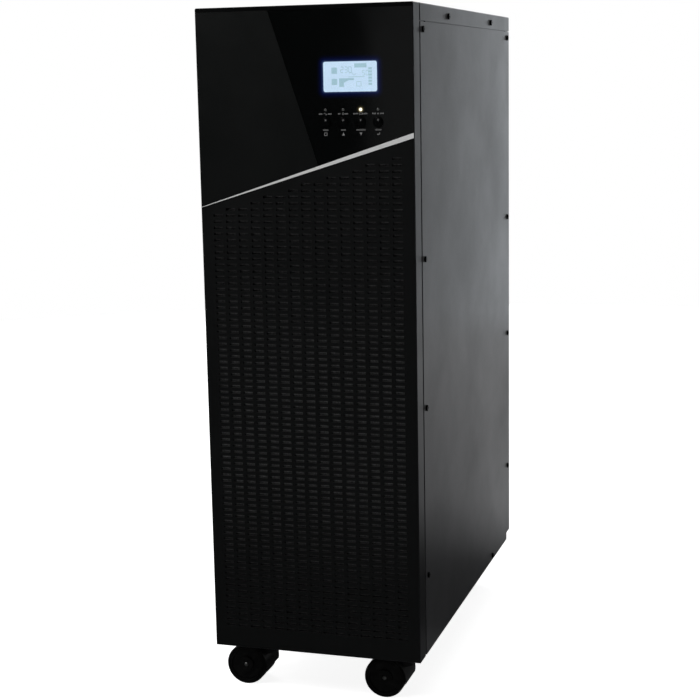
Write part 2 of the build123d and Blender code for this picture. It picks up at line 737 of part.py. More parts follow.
def chokes():
    coils = []
    bore, radius = CHOKE_RADII
    ring = Cylinder(radius, CHOKE_LENGTH) - Cylinder(bore, CHOKE_LENGTH + 4)
    ring = fillet(ring.edges().filter_by(GeomType.CIRCLE), 8)
    x = BOARD_X + POWER_BOARD + 2 + CHOKE_LENGTH / 2
    for i in range(CHOKES):
        coils.append(Location((x, CHOKE_FIRST_Y + i * CHOKE_PITCH, CHOKE_Z), (0, 90, 0)) * ring)
    return group(coils)


def logic_board():
    """Upright board with its chips facing inwards, on four spacers towards the right side panel."""
    board = block((LOGIC_X, LOGIC_X + BOARD), LOGIC_Y, LOGIC_Z)
    for y, z, size in CHIPS:
        board += block((LOGIC_X - CHIP, LOGIC_X + 0.2), (y, y + size), (z, z + size))
    for y in (LOGIC_Y[0] + 10, LOGIC_Y[1] - 10):
        for z in (LOGIC_Z[0] + 10, LOGIC_Z[1] - 10):
            board += rod(3, (LOGIC_X + BOARD - 0.2, y, z), (1, 0, 0), FOLD_IN - LOGIC_X - 2)
    return board


# Rear


def rear_screw_points():
    """(x, z) of the screws on the rear panel."""
    points = [(x, HEIGHT - TOP_SCREW_DROP) for x in REAR_TOP_SCREW_X]
    for fan in (-FAN_X, FAN_X):
        points += [(fan + dx, FAN_Z + dz) for dx, dz in fan_corners()]
    points += [(x, sum(CARD_Z) / 2) for x in card_screw_x()]
    points += cover_screw_points()
    return points


def fan_corners():
    """(dx, dz) of a fan's screws from its axle."""
    return [(dx, dz) for dx in (-FAN_SCREW, FAN_SCREW) for dz in (-FAN_SCREW, FAN_SCREW)]


def card_screw_x():
    return (CARD_X[0] + CARD_SCREW, CARD_X[1] - CARD_SCREW)


def cover_screw_points():
    """(x, z) of the screws through the terminal cover's side tabs."""
    reach = COVER_SIZE[0] / 2 + COVER_TAB / 2
    heights = (TERMINAL_Z - COVER_SCREW_RISE, TERMINAL_Z + COVER_SCREW_RISE)
    return [(x, z) for x in (-reach, reach) for z in heights]


def fan_frame():
    half = FAN_SIZE / 2
    y = (FAN_BACK - FAN_DEPTH, FAN_BACK)
    frame = block((-half, half), y, (-half, half))
    frame = fillet(frame.edges().filter_by(Axis.Y), FAN_ROUND)
    frame -= rod(FAN_BORE, (0, y[0] - 1, 0), (0, 1, 0), FAN_DEPTH + 2)
    for dx, dz in fan_corners():
        frame -= rod(SCREW_HOLE, (dx, y[0] - 1, dz), (0, 1, 0), FAN_DEPTH + 2)
    radius, thick = MOTOR_PLATE
    frame += rod(radius, (0, y[0], 0), (0, 1, 0), thick)
    for turn in SPOKE_TURNS:
        arm = block((radius - 3, FAN_BORE + 1), (y[0], y[0] + thick), (-2, 2))
        frame += Rot(0, turn, 0) * arm
    return frame + rod(AXLE[0], (0, y[0] + 2, 0), (0, 1, 0), AXLE[1])


def fan_rotor():
    """Hub and blades, with a bore that runs on the frame's axle."""
    front = FAN_BACK - FAN_DEPTH + MOTOR_PLATE[1] + ROTOR_GAP
    rotor = rod(HUB_RADIUS, (0, front, 0), (0, 1, 0), ROTOR_DEPTH)
    rotor = fillet(rotor.edges().group_by(Axis.Y)[-1], 1.5)
    swept = rod(FAN_BORE - 1.2, (0, front, 0), (0, 1, 0), ROTOR_DEPTH)
    for i in range(BLADES):
        blade = Location((BLADE_MIDDLE, front + ROTOR_DEPTH / 2, 0), (BLADE_PITCH, 0, 0)) * Box(*BLADE)
        rotor += (Rot(0, i * 360 / BLADES, 0) * blade) & swept
    return rotor - rod(AXLE[0] + 0.05, (0, front - 1, 0), (0, 1, 0), AXLE[1] + 1)


def fan_guard():
    """Concentric rings on four spokes, from a middle disc to eyes under the screws."""
    reach = FAN_SCREW * math.sqrt(2)
    outline = Circle(GUARD_DISC)
    for radius in GUARD_RINGS:
        outline += Circle(radius + WIRE) - Circle(radius - WIRE)
    for turn in SPOKE_TURNS:
        spoke = Pos(reach / 2, 0) * Rectangle(reach, 2 * WIRE)
        outline += Rot(0, 0, turn) * (spoke + Pos(reach, 0) * Circle(EYE))
    for turn in SPOKE_TURNS:
        outline -= Rot(0, 0, turn) * Pos(reach, 0) * Circle(SCREW_HOLE)
    return Location((0, REAR_FACE + GUARD, 0), (90, 0, 0)) * extrude(outline, amount=GUARD)


def both_fans(shape):
    return group([Pos(x, 0, FAN_Z) * shape for x in (-FAN_X, FAN_X)])


def breaker(x):
    """Body through the rear panel, rim over its opening and a well for the lever."""
    wide, deep, tall = BREAKER_SIZE
    y = (REAR_FACE - deep, REAR_FACE)
    half_x, half_z = wide / 2 - 2, tall / 2 - 2.2
    body_z = (BREAKER_Z - half_z, BREAKER_Z + half_z)
    body = block((x - half_x, x + half_x), (y[0], y[1] + 2), body_z)
    rim_z = (BREAKER_Z - tall / 2, BREAKER_Z + tall / 2)
    rim = block((x - wide / 2, x + wide / 2), (y[1], y[1] + BREAKER_RIM), rim_z)
    rim = fillet(rim.edges().group_by(Axis.Y)[-1], 0.8)
    well_y = (LEVER_PIVOT_Y - LEVER_DRUM - 1, y[1] + 5)
    well_z = (BREAKER_Z - WELL_HALF[1], BREAKER_Z + WELL_HALF[1])
    return body + rim - block((x - WELL_HALF[0], x + WELL_HALF[0]), well_y, well_z)


def breaker_lever(x):
    drum = rod(LEVER_DRUM, (-LEVER_HALF, 0, 0), (1, 0, 0), 2 * LEVER_HALF)
    half_x, half_z = PADDLE_HALF
    paddle = block((-half_x, half_x), (0, LEVER_REACH), (-half_z, half_z))
    paddle = fillet(paddle.edges().group_by(Axis.Y)[-1], 1.2)
    return Location((x, LEVER_PIVOT_Y, BREAKER_Z), (LEVER_REST, 0, 0)) * (drum + paddle)


def terminal_ways():
    """x of each way's middle."""
    pitch = TERMINAL_SIZE[0] / TERMINAL_WAYS
    return [pitch * (i - (TERMINAL_WAYS - 1) / 2) for i in range(TERMINAL_WAYS)]


def terminal_block():
    wide, deep, tall = TERMINAL_SIZE
    y = (REAR_FACE, REAR_FACE + deep)
    body = block((-wide / 2, wide / 2), y, (TERMINAL_Z - tall / 2, TERMINAL_Z + tall / 2))
    way_y = (REAR_FACE + TERMINAL_STEP, y[1] + 1)
    for x in terminal_ways():
        body -= block((x - WAY_HALF, x + WAY_HALF), way_y, (TERMINAL_Z - tall, TERMINAL_Z + tall))
        body -= rod(TERMINAL_SCREW + 0.1, (x, REAR_FACE + 2, TERMINAL_Z), (0, 1, 0), TERMINAL_STEP)
    return body


def terminal_screws():
    """Slotted screws, one in each way."""
    screws = []
    seat = REAR_FACE + TERMINAL_STEP + 0.1
    slot_z = (TERMINAL_Z - TERMINAL_HEAD - 1, TERMINAL_Z + TERMINAL_HEAD + 1)
    for x in terminal_ways():
        head = rod(TERMINAL_HEAD, (x, seat, TERMINAL_Z), (0, 1, 0), 3)
        head -= block((x - 0.6, x + 0.6), (seat + 1.9, seat + 4), slot_z)
        screws.append(head + rod(TERMINAL_SCREW, (x, REAR_FACE + 3, TERMINAL_Z), (0, 1, 0), 8))
    return group(screws)


def terminal_cover():
    """Sheet-steel box over the terminals, open towards the cabinet, with a screwed tab on each side."""
    wide, tall = COVER_SIZE[0] / 2, COVER_SIZE[1] / 2
    y = (REAR_FACE, DEPTH + REAR_PROUD)
    outer = block((-wide, wide), y, (TERMINAL_Z - tall, TERMINAL_Z + tall))
    outer = fillet(outer.edges().group_by(Axis.Y)[-1], COVER_ROUND)
    tab_x = (-wide - COVER_TAB, wide + COVER_TAB)
    tab_z = (TERMINAL_Z - tall + COVER_TAB_INSET, TERMINAL_Z + tall - COVER_TAB_INSET)
    cover = outer + block(tab_x, (y[0], y[0] + SHEET), tab_z)
    inner_z = (TERMINAL_Z - tall + SHEET, TERMINAL_Z + tall - SHEET)
    cover -= block((-wide + SHEET, wide - SHEET), (y[0] - 1, y[1] - SHEET), inner_z)
    for x, z in cover_screw_points():
        cover -= rod(SCREW_HOLE, (x, y[0] - 1, z), (0, 1, 0), 5)
    for x in GLAND_X:
        cover -= rod(GLAND_BODY + 0.1, (x, GLAND_Y, TERMINAL_Z - tall - 1), (0, 0, 1), 5)
    return cover


def cable_gland(x):
    """Thread through the cover's floor, lock nut inside, hexagon and domed nut outside."""
    floor = TERMINAL_Z - COVER_SIZE[1] / 2
    gland = rod(GLAND_BODY, (0, 0, floor - 2), (0, 0, 1), 8)
    gland += Pos(0, 0, floor - GLAND_HEX) * extrude(RegularPolygon(GLAND_NUT, 6), amount=GLAND_HEX)
    gland += Pos(0, 0, floor + SHEET) * extrude(RegularPolygon(GLAND_NUT, 6), amount=GLAND_LOCK)
    bottom = floor - GLAND_HEX - GLAND_DOME
    dome = rod(GLAND_NUT - 1.4, (0, 0, bottom), (0, 0, 1), GLAND_DOME)
    gland += fillet(dome.edges().group_by(Axis.Z)[0], 3)
    return Pos(x, GLAND_Y, 0) * (gland - rod(GLAND_BORE, (0, 0, bottom - 4), (0, 0, 1), 50))


def earth_stud():
    """Threaded stud held by a nut on each side of the rear panel."""
    stud = rod(EARTH_RADIUS, (EARTH_X, REAR_FACE - EARTH_IN, EARTH_Z), (0, 1, 0), EARTH_IN + EARTH_OUT)
    inner_height = EARTH_IN - SHEET - 0.8
    for y, height in ((REAR_FACE, EARTH_NUT_HEIGHT), (REAR_FACE - SHEET - inner_height, inner_height)):
        place = Plane(origin=(EARTH_X, y, EARTH_Z), z_dir=(0, 1, 0)).location
        stud += place * extrude(RegularPolygon(EARTH_NUT, 6), amount=height)
    return stud


def serial_port():
    """Nine-way D-shaped socket with a jack post on each side."""
    flange_x = (SERIAL_X - 15.4, SERIAL_X + 15.4)
    flange = block(flange_x, (REAR_FACE, REAR_FACE + 0.8), (PORT_Z - 6.2, PORT_Z + 6.2))
    outline = [(-8.3, -4), (8.3, -4), (9, 4), (-9, 4)]
    shell = plate_xz([(SERIAL_X + dx, PORT_Z + dz) for dx, dz in outline], REAR_FACE - 10, REAR_FACE + 6)
    shell = fillet(shell.edges().filter_by(Axis.Y), 1.5)
    port = flange + shell
    for i in range(9):
        column = i if i < 5 else i - 4.5
        z = PORT_Z + (1.4 if i < 5 else -1.4)
        port -= rod(0.5, (SERIAL_X + (column - 2) * 2.77, REAR_FACE + 2, z), (0, 1, 0), 5)
    for dx in (-12.5, 12.5):
        post = Plane(origin=(SERIAL_X + dx, REAR_FACE + 0.6, PORT_Z), z_dir=(0, 1, 0)).location
        port += post * extrude(RegularPolygon(2.8, 6), amount=5)
    return port


def usb_port():
    shell = block((USB_X - 6, USB_X + 6), (REAR_FACE - 14, REAR_FACE + 1.5), (PORT_Z - 5.4, PORT_Z + 5.4))
    mouth = block((USB_X - 4.2, USB_X + 4.2), (REAR_FACE - 8, REAR_FACE + 2), (PORT_Z - 3.9, PORT_Z + 3.9))
    tongue = block((USB_X - 2.8, USB_X + 2.8), (REAR_FACE - 9, REAR_FACE), (PORT_Z - 1.6, PORT_Z + 1.6))
    return shell - mouth + tongue


def epo_port():
    """Two-way terminal for an emergency power-off switch."""
    port = block((EPO_X - 6.2, EPO_X + 6.2), (REAR_FACE - 10, REAR_FACE + 5), (PORT_Z - 4.3, PORT_Z + 4.3))
    for x in (EPO_X - 2.6, EPO_X + 2.6):
        port -= block((x - 1.6, x + 1.6), (REAR_FACE, REAR_FACE + 6), (PORT_Z - 2.6, PORT_Z + 0.8))
        port -= rod(1.3, (x, REAR_FACE + 2.5, PORT_Z + 2), (0, 0, 1), 4)
    return port


def card_slot_cover():
    plate = block(CARD_X, (REAR_FACE, REAR_FACE + SHEET), CARD_Z)
    plate = fillet(plate.edges().filter_by(Axis.Y), 2)
    for x in card_screw_x():
        plate -= rod(SCREW_HOLE, (x, REAR_FACE - 1, sum(CARD_Z) / 2), (0, 1, 0), 5)
    return plate


# Fasteners


def pan_head_screw():
    """Head above z = 0, shank below it, with a cross recess."""
    head = Pos(0, 0, HEAD_HEIGHT / 2) * Cylinder(HEAD_RADIUS, HEAD_HEIGHT)
    head = fillet(head.edges().group_by(Axis.Z)[-1], HEAD_ROUND)
    top = HEAD_HEIGHT - RECESS_DEPTH / 2
    for size in ((RECESS_LENGTH, RECESS_WIDTH), (RECESS_WIDTH, RECESS_LENGTH)):
        head -= Pos(0, 0, top + 0.01) * Box(*size, RECESS_DEPTH + 0.02)
    return head + rod(SCREW_RADIUS, (0, 0, 0), (0, 0, -1), SCREW_LENGTH)


def panel_screws():
    screw = pan_head_screw()
    screws = []
    for side, x in (("left", -HALF), ("right", HALF)):
        for y, z in side_screw_points():
            screws.append(Plane(origin=(x, y, z), z_dir=OUTWARD[side]).location * screw)
    for x, z in rear_screw_points():
        if z > HEIGHT - FLANGE_DROP:
            y = DEPTH
        elif abs(z - FAN_Z) < FAN_SIZE:
            y = REAR_FACE + GUARD
        else:
            y = REAR_FACE + SHEET
        screws.append(Plane(origin=(x, y, z), z_dir=OUTWARD["rear"]).location * screw)
    return group(screws)


def caster_bolts():
    bolts = []
    for x, y in caster_points():
        for dx in (-PLATE_BOLT, PLATE_BOLT):
            for dy in (-PLATE_BOLT, PLATE_BOLT):
                head = rod(BOLT_HEAD, (x + dx, y + dy, -PLATE), (0, 0, -1), BOLT_HEAD_HEIGHT)
                head = fillet(head.edges().group_by(Axis.Z)[0], 0.8)
                foot = (x + dx, y + dy, -PLATE - 1)
                bolts.append(head + rod(BOLT_RADIUS, foot, (0, 0, 1), PLATE + 1 + BOLT_THROUGH))
    return group(bolts)


# Casters, drawn about a swivel axis at x = y = 0 with the wheels trailing towards -x


def caster_plate():
    half = PLATE_SIZE / 2
    plate = block((-half, half), (-half, half), (-PLATE, 0))
    plate = fillet(plate.edges().filter_by(Axis.Z), PLATE_CORNER)
    plate += rod(RACE_RADIUS, (0, 0, RACE_BOTTOM), (0, 0, 1), -RACE_BOTTOM - 1)
    for dx in (-PLATE_BOLT, PLATE_BOLT):
        for dy in (-PLATE_BOLT, PLATE_BOLT):
            plate -= rod(BOLT_RADIUS + 0.1, (dx, dy, -10), (0, 0, 1), 20)
    return plate - rod(KINGPIN_HOLE, (0, 0, -10), (0, 0, 1), 20)


def caster_hood():
    """Guard over the twin wheels, web between them, neck and kingpin."""
    reach = 3 * HOOD_OUTER
    turns = [math.radians(HOOD_FROM + i * (HOOD_TO - HOOD_FROM) / 4) for i in range(5)]
    rim = [(-TRAIL + reach * math.cos(a), AXLE_Z + reach * math.sin(a)) for a in turns]
    sector = plate_xz([(-TRAIL, AXLE_Z)] + rim, -HOOD_HALF, HOOD_HALF)
    hood = rod(HOOD_OUTER, (-TRAIL, -HOOD_HALF, AXLE_Z), (0, 1, 0), 2 * HOOD_HALF) & sector
    hood += rod(NECK_RADIUS, (0, 0, NECK_FOOT), (0, 0, 1), NECK_TOP - NECK_FOOT)
    for side in (-1, 1):
        start = (-TRAIL, side * WEB_HALF, AXLE_Z)
        hood -= rod(HOOD_INNER, start, (0, side, 0), 2 * HOOD_HALF)
    hood += rod(WEB_BOSS, (-TRAIL, -WEB_HALF, AXLE_Z), (0, 1, 0), 2 * WEB_HALF)
    hood += rod(KINGPIN_RADIUS, (0, 0, NECK_TOP - 1), (0, 0, 1), KINGPIN_TOP - NECK_TOP + 1)
    return hood - rod(AXLE_HOLE, (-TRAIL, -HOOD_OUTER, AXLE_Z), (0, 1, 0), 2 * HOOD_OUTER)


def caster_wheels():
    """Two dished discs on one axle."""
    inner = WEB_HALF + WHEEL_GAP
    outer = inner + WHEEL_WIDTH
    disc = rod(WHEEL_RADIUS, (-TRAIL, inner, AXLE_Z), (0, 1, 0), WHEEL_WIDTH)
    disc = fillet(disc.edges().filter_by(GeomType.CIRCLE), WHEEL_ROUND)
    for radii, depth in ((DISH_RADII, DISH_DEPTH), (GROOVE_RADII, GROOVE_DEPTH)):
        cut = rod(radii[1], (-TRAIL, outer - depth, AXLE_Z), (0, 1, 0), 5)
        disc -= cut - rod(radii[0], (-TRAIL, 0, AXLE_Z), (0, 1, 0), 2 * outer)
    disc -= rod(AXLE_RADIUS, (-TRAIL, 0, AXLE_Z), (0, 1, 0), outer - AXLE_SHORT)
    other = mirror(disc, about=Plane.XZ)
    axle = rod(AXLE_RADIUS, (-TRAIL, -outer + AXLE_SHORT, AXLE_Z), (0, 1, 0), 2 * (outer - AXLE_SHORT))
    return group([disc, other, axle])


def main():
    os.makedirs("parts", exist_ok=True)
    save("front_bezel", front_bezel())
    save("grille_panel", grille_panel())
    save("facet_panel", facet_panel())
    save("display_fascia", display_fascia())
    save("silver_trim", silver_trim())
    save("lcd_window", lcd_window())
    save("lcd_module", lcd_module())
    save("led_lenses", led_lenses())
    for name, x in zip(BUTTON_NAMES, CONTROL_X):
        save(name, push_button(x))
    save("control_board", control_board())
    save("board_switches", board_switches())
    save("dust_filter", dust_filter())
    save("front_frame", front_frame())
    save("top_cover", top_cover())
    right = side_panel()
    save("right_side_panel", right)
    save("left_side_panel", mirrored(right))
    save("base_pan", base_pan())
    save("rear_panel", rear_panel())
    save("battery_shelf", shelf(SHELF_Z[0]))
    save("power_shelf", shelf(SHELF_Z[1]))
    save("battery_trays", battery_trays())
    save("battery_blocks", battery_blocks())
    save("battery_links", battery_links())
    save("power_board", power_board())
    save("heatsinks", heatsinks())
    save("transistors", transistors())
    save("bus_capacitors", bus_capacitors())
    save("chokes", chokes())
    save("logic_board", logic_board())
    save("fan_frames", both_fans(fan_frame()))
    save("fan_guards", both_fans(fan_guard()))
    rotor = fan_rotor()
    save("left_fan_rotor", Pos(-FAN_X, 0, FAN_Z) * rotor)
    save("right_fan_rotor", Pos(FAN_X, 0, FAN_Z) * rotor)
    for name, x in zip(("input_breaker", "bypass_breaker"), BREAKER_X):
        save(name, breaker(x))
        save(f"{name}_lever", breaker_lever(x))
    save("terminal_block", terminal_block())
    save("terminal_screws", terminal_screws())
    save("terminal_cover", terminal_cover())
    save("cable_glands", group([cable_gland(x) for x in GLAND_X]))
    save("earth_stud", earth_stud())
    save("serial_port", serial_port())
    save("usb_port", usb_port())
    save("epo_port", epo_port())
    save("card_slot_cover", card_slot_cover())
    save("panel_screws", panel_screws())
    save("caster_bolts", caster_bolts())
    plate, hood, wheels = caster_plate(), caster_hood(), caster_wheels()
    save("caster_plates", group([Pos(x, y, 0) * plate for x, y in caster_points()]))
    names = ("front_left", "front_right", "rear_left", "rear_right")
    for name, (x, y) in zip(names, caster_points()):
        save(f"{name}_caster_hood", Pos(x, y, 0) * hood)
        save(f"{name}_caster_wheels", Pos(x, y, 0) * wheels)


main()
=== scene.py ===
import json
import math

import bmesh
import bpy
from mathutils import Matrix, Vector


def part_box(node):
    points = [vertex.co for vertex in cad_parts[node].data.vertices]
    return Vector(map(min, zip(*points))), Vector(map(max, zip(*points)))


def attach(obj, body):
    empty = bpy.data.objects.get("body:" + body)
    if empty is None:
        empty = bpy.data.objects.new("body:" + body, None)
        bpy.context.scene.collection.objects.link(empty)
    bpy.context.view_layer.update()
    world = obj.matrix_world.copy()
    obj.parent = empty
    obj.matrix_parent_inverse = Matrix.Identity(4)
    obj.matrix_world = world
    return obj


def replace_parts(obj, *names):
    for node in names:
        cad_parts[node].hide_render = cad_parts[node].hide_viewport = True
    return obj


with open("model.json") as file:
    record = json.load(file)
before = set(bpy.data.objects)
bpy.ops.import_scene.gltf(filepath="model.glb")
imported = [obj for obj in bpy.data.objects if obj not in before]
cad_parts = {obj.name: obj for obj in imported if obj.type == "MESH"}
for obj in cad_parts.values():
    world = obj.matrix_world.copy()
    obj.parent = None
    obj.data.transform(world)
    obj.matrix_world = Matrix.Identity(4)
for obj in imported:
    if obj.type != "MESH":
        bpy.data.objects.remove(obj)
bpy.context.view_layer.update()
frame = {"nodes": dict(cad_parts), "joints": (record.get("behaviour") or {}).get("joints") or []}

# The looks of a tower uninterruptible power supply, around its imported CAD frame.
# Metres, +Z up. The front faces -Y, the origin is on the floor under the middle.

MM = 0.001
NODES = frame["nodes"]
RANGE_SOCKETS = ("From Min", "From Max", "To Min", "To Max")
FULL_TURN = 2 * math.pi

# The four buttons from left to right. Each has a status lamp above it, and one lamp is lit.
CONTROLS = ("escape", "up", "down", "enter")
LIT_LAMP = 2
LIT_BUTTON = f"{CONTROLS[LIT_LAMP]}_button"

# ---------------------------------------------------------------- materials


class Surface:
    """A Principled material that is built up node by node, in object coordinates."""

    def __init__(self, name, colour, roughness, metallic=0.0, specular=0.5):
        self.material = bpy.data.materials.new("look_" + name)
        self.material.use_nodes = True
        self.tree = self.material.node_tree
        self.shader = self.tree.nodes["Principled BSDF"]
        self.place = self.node("ShaderNodeTexCoord").outputs["Object"]
        self.set("Base Color", (*colour, 1))
        self.set("Roughness", roughness)
        self.set("Metallic", metallic)
        self.set("Specular IOR Level", specular)

    def node(self, kind, **values):
        made = self.tree.nodes.new(kind)
        for name, value in values.items():
            setattr(made, name, value)
        return made

    def set(self, socket, value):
        """Sets a number or a colour, or joins another node's output, to one of the shader's sockets."""
        self.feed(self.shader.inputs[socket], value)

    def feed(self, socket, value):
        if isinstance(value, bpy.types.NodeSocket):
            self.tree.links.new(value, socket)
        else:
            socket.default_value = value

    def stretched(self, scale):
        """Object coordinates multiplied by a number for each axis."""
        mapping = self.node("ShaderNodeMapping")
        self.feed(mapping.inputs["Vector"], self.place)
        mapping.inputs["Scale"].default_value = scale
        return mapping.outputs["Vector"]

    def noise(self, size, detail=2.0, stretch=None, rough=0.5):
        """Noise from 0 to 1 whose features are about size metres across."""
        made = self.node("ShaderNodeTexNoise")
        self.feed(made.inputs["Vector"], self.stretched(stretch) if stretch else self.place)
        made.inputs["Scale"].default_value = 1 / size
        made.inputs["Detail"].default_value = detail
        made.inputs["Roughness"].default_value = rough
        return made.outputs["Fac"]

    def cells(self, size):
        """Distance within Voronoi cells about size metres across."""
        made = self.node("ShaderNodeTexVoronoi", feature="F1")
        self.feed(made.inputs["Vector"], self.place)
        made.inputs["Scale"].default_value = 1 / size
        return made.outputs["Distance"]

    def spread(self, value, low, high, out_low=0.0, out_high=1.0):
        """Maps low..high to out_low..out_high, and holds both ends."""
        made = self.node("ShaderNodeMapRange")
        self.feed(made.inputs["Value"], value)
        for name, number in zip(RANGE_SOCKETS, (low, high, out_low, out_high)):
            made.inputs[name].default_value = number
        return made.outputs["Result"]

    def mix(self, amount, first, second):
        """Colour between two colours."""
        made = self.node("ShaderNodeMix", data_type="RGBA")
        self.feed(made.inputs["Factor"], amount)
        for socket, colour in ((made.inputs[6], first), (made.inputs[7], second)):
            self.feed(socket, colour if isinstance(colour, bpy.types.NodeSocket) else (*colour, 1))
        return made.outputs[2]

    def combine(self, first, second, operation="ADD"):
        """Result of a Math operation on two numbers or sockets."""
        made = self.node("ShaderNodeMath", operation=operation)
        self.feed(made.inputs[0], first)
        self.feed(made.inputs[1], second)
        return made.outputs[0]

    def squared(self, first, second):
        """The two values squared, and added."""
        squares = [self.combine(side, side, "MULTIPLY") for side in (first, second)]
        return self.combine(*squares)

    def axis(self, name):
        """One of the object coordinates, X, Y or Z."""
        made = self.node("ShaderNodeSeparateXYZ")
        self.feed(made.inputs[0], self.place)
        return made.outputs[name]

    def facing(self, name):
        """How far a face points along X, Y or Z, from -1 to 1."""
        made = self.node("ShaderNodeSeparateXYZ")
        self.feed(made.inputs[0], self.node("ShaderNodeNewGeometry").outputs["Normal"])
        return made.outputs[name]

    def offsets(self, middle):
        """X and Z of a point on the surface, measured from the middle."""
        places = (("X", middle.x), ("Z", middle.z))
        return [self.combine(self.axis(name), centre, "SUBTRACT") for name, centre in places]

    def bump(self, height, depth, strength=1.0):
        """Bump of that depth in metres."""
        made = self.node("ShaderNodeBump")
        self.feed(made.inputs["Height"], height)
        made.inputs["Distance"].default_value = depth
        made.inputs["Strength"].default_value = strength
        self.feed(self.shader.inputs["Normal"], made.outputs["Normal"])


def shade(colour, factor):
    """The colour made darker or brighter."""
    return tuple(min(channel * factor, 1) for channel in colour)


def two_shades(surface, colour, size, low, high):
    """One colour in two shades, mixed by a fine noise."""
    grain = surface.spread(surface.noise(size, 3), 0.35, 0.65)
    return surface.mix(grain, shade(colour, low), shade(colour, high))


def speckled(surface, colour, size, low, high):
    """Gives the surface that colour in two shades."""
    surface.set("Base Color", two_shades(surface, colour, size, low, high))


def worn_roughness(surface, low, high, size=0.09):
    """Roughness that drifts over the surface, as handling and cleaning leave it."""
    surface.set("Roughness", surface.spread(surface.noise(size, 5, rough=0.6), 0.3, 0.7, low, high))


def powder_coat():
    """Black textured paint on sheet steel."""
    black, fleck, ripple = (0.02, 0.02, 0.0212), 0.0011, 0.004
    paint = Surface("case_paint", black, 0.42)
    speckled(paint, black, fleck, 0.7, 1.45)
    worn_roughness(paint, 0.3, 0.37)
    peel = paint.combine(paint.noise(fleck, 3), paint.noise(ripple, 1))
    paint.bump(peel, 0.00005, 0.5)
    return paint.material


MOULD_GRAIN = 0.0006
MOULD_DEPTH = 0.00002
MOULD_SHADES = (0.85, 1.2)


def moulded_finish(plastic, low, high, grain=MOULD_GRAIN, depth=MOULD_DEPTH):
    """The handled surface and the spark-eroded grain of moulded plastic, but not its colour."""
    worn_roughness(plastic, low, high)
    plastic.bump(plastic.noise(grain, 2), depth, 0.4)
    return plastic.material


def moulded(name, colour, low, high, specular=0.5, grain=MOULD_GRAIN, depth=MOULD_DEPTH):
    """Moulded plastic of one colour."""
    plastic = Surface(name, colour, low, specular=specular)
    speckled(plastic, colour, grain * 2, *MOULD_SHADES)
    return moulded_finish(plastic, low, high, grain, depth)


def bezel_plastic():
    """Moulded black plastic, less shiny on the lip above the front panels, and made blacker there by painted
    shade that hides the lights' highlight on it.
    """
    black, lip_painted_shade = (0.0035, 0.0037, 0.004), (0.0012, 0.0013, 0.0014)
    gloss, lip_gloss = 0.42, 0.12
    plastic = Surface("bezel_plastic", black, 0.34, specular=gloss)
    body = two_shades(plastic, black, MOULD_GRAIN * 2, *MOULD_SHADES)
    forward = plastic.spread(plastic.facing("Y"), -0.3, -0.1, 1.0, 0.0)
    lip_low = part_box("front_bezel")[1].z - 5.5 * MM
    above = plastic.spread(plastic.axis("Z"), lip_low, lip_low + 1 * MM)
    lip = plastic.combine(above, forward, "MULTIPLY")
    # Painted shade: the front of the lip is mixed to a blacker colour so it shows no highlight.
    plastic.set("Base Color", plastic.mix(lip, body, lip_painted_shade))
    plastic.set("Specular IOR Level", plastic.spread(lip, 0.0, 1.0, gloss, lip_gloss))
    return moulded_finish(plastic, 0.3, 0.38)


def dust_and_highlight_by_height(surface):
    """How much dust and painted highlight the grille's slots get at a height: most around the middle of the
    grille.
    """
    from_low = surface.spread(surface.axis("Z"), 0.14, 0.27, 0.25, 1.0)
    from_high = surface.spread(surface.axis("Z"), 0.4, 0.52, 1.0, 0.45)
    return surface.combine(from_low, from_high, "MULTIPLY")


def grille_painted_highlight():
    """Matt moulded plastic, with a painted highlight, a lighter grey, on the walls of its slots that face up,
    as if they caught the light from above.
    """
    black, painted_highlight_grey = (0.0027, 0.0031, 0.0032), (0.06, 0.06, 0.06)
    plastic = Surface("grille_plastic", black, 0.42, specular=0.2)
    clean = two_shades(plastic, black, MOULD_GRAIN * 2, *MOULD_SHADES)
    upward = plastic.spread(plastic.facing("Z"), 0.3, 0.8)
    dust = plastic.combine(upward, dust_and_highlight_by_height(plastic), "MULTIPLY")
    # Painted highlight: faces that point up are mixed towards grey, most around the middle of the grille.
    plastic.set("Base Color", plastic.mix(dust, clean, painted_highlight_grey))
    return moulded_finish(plastic, 0.4, 0.5)


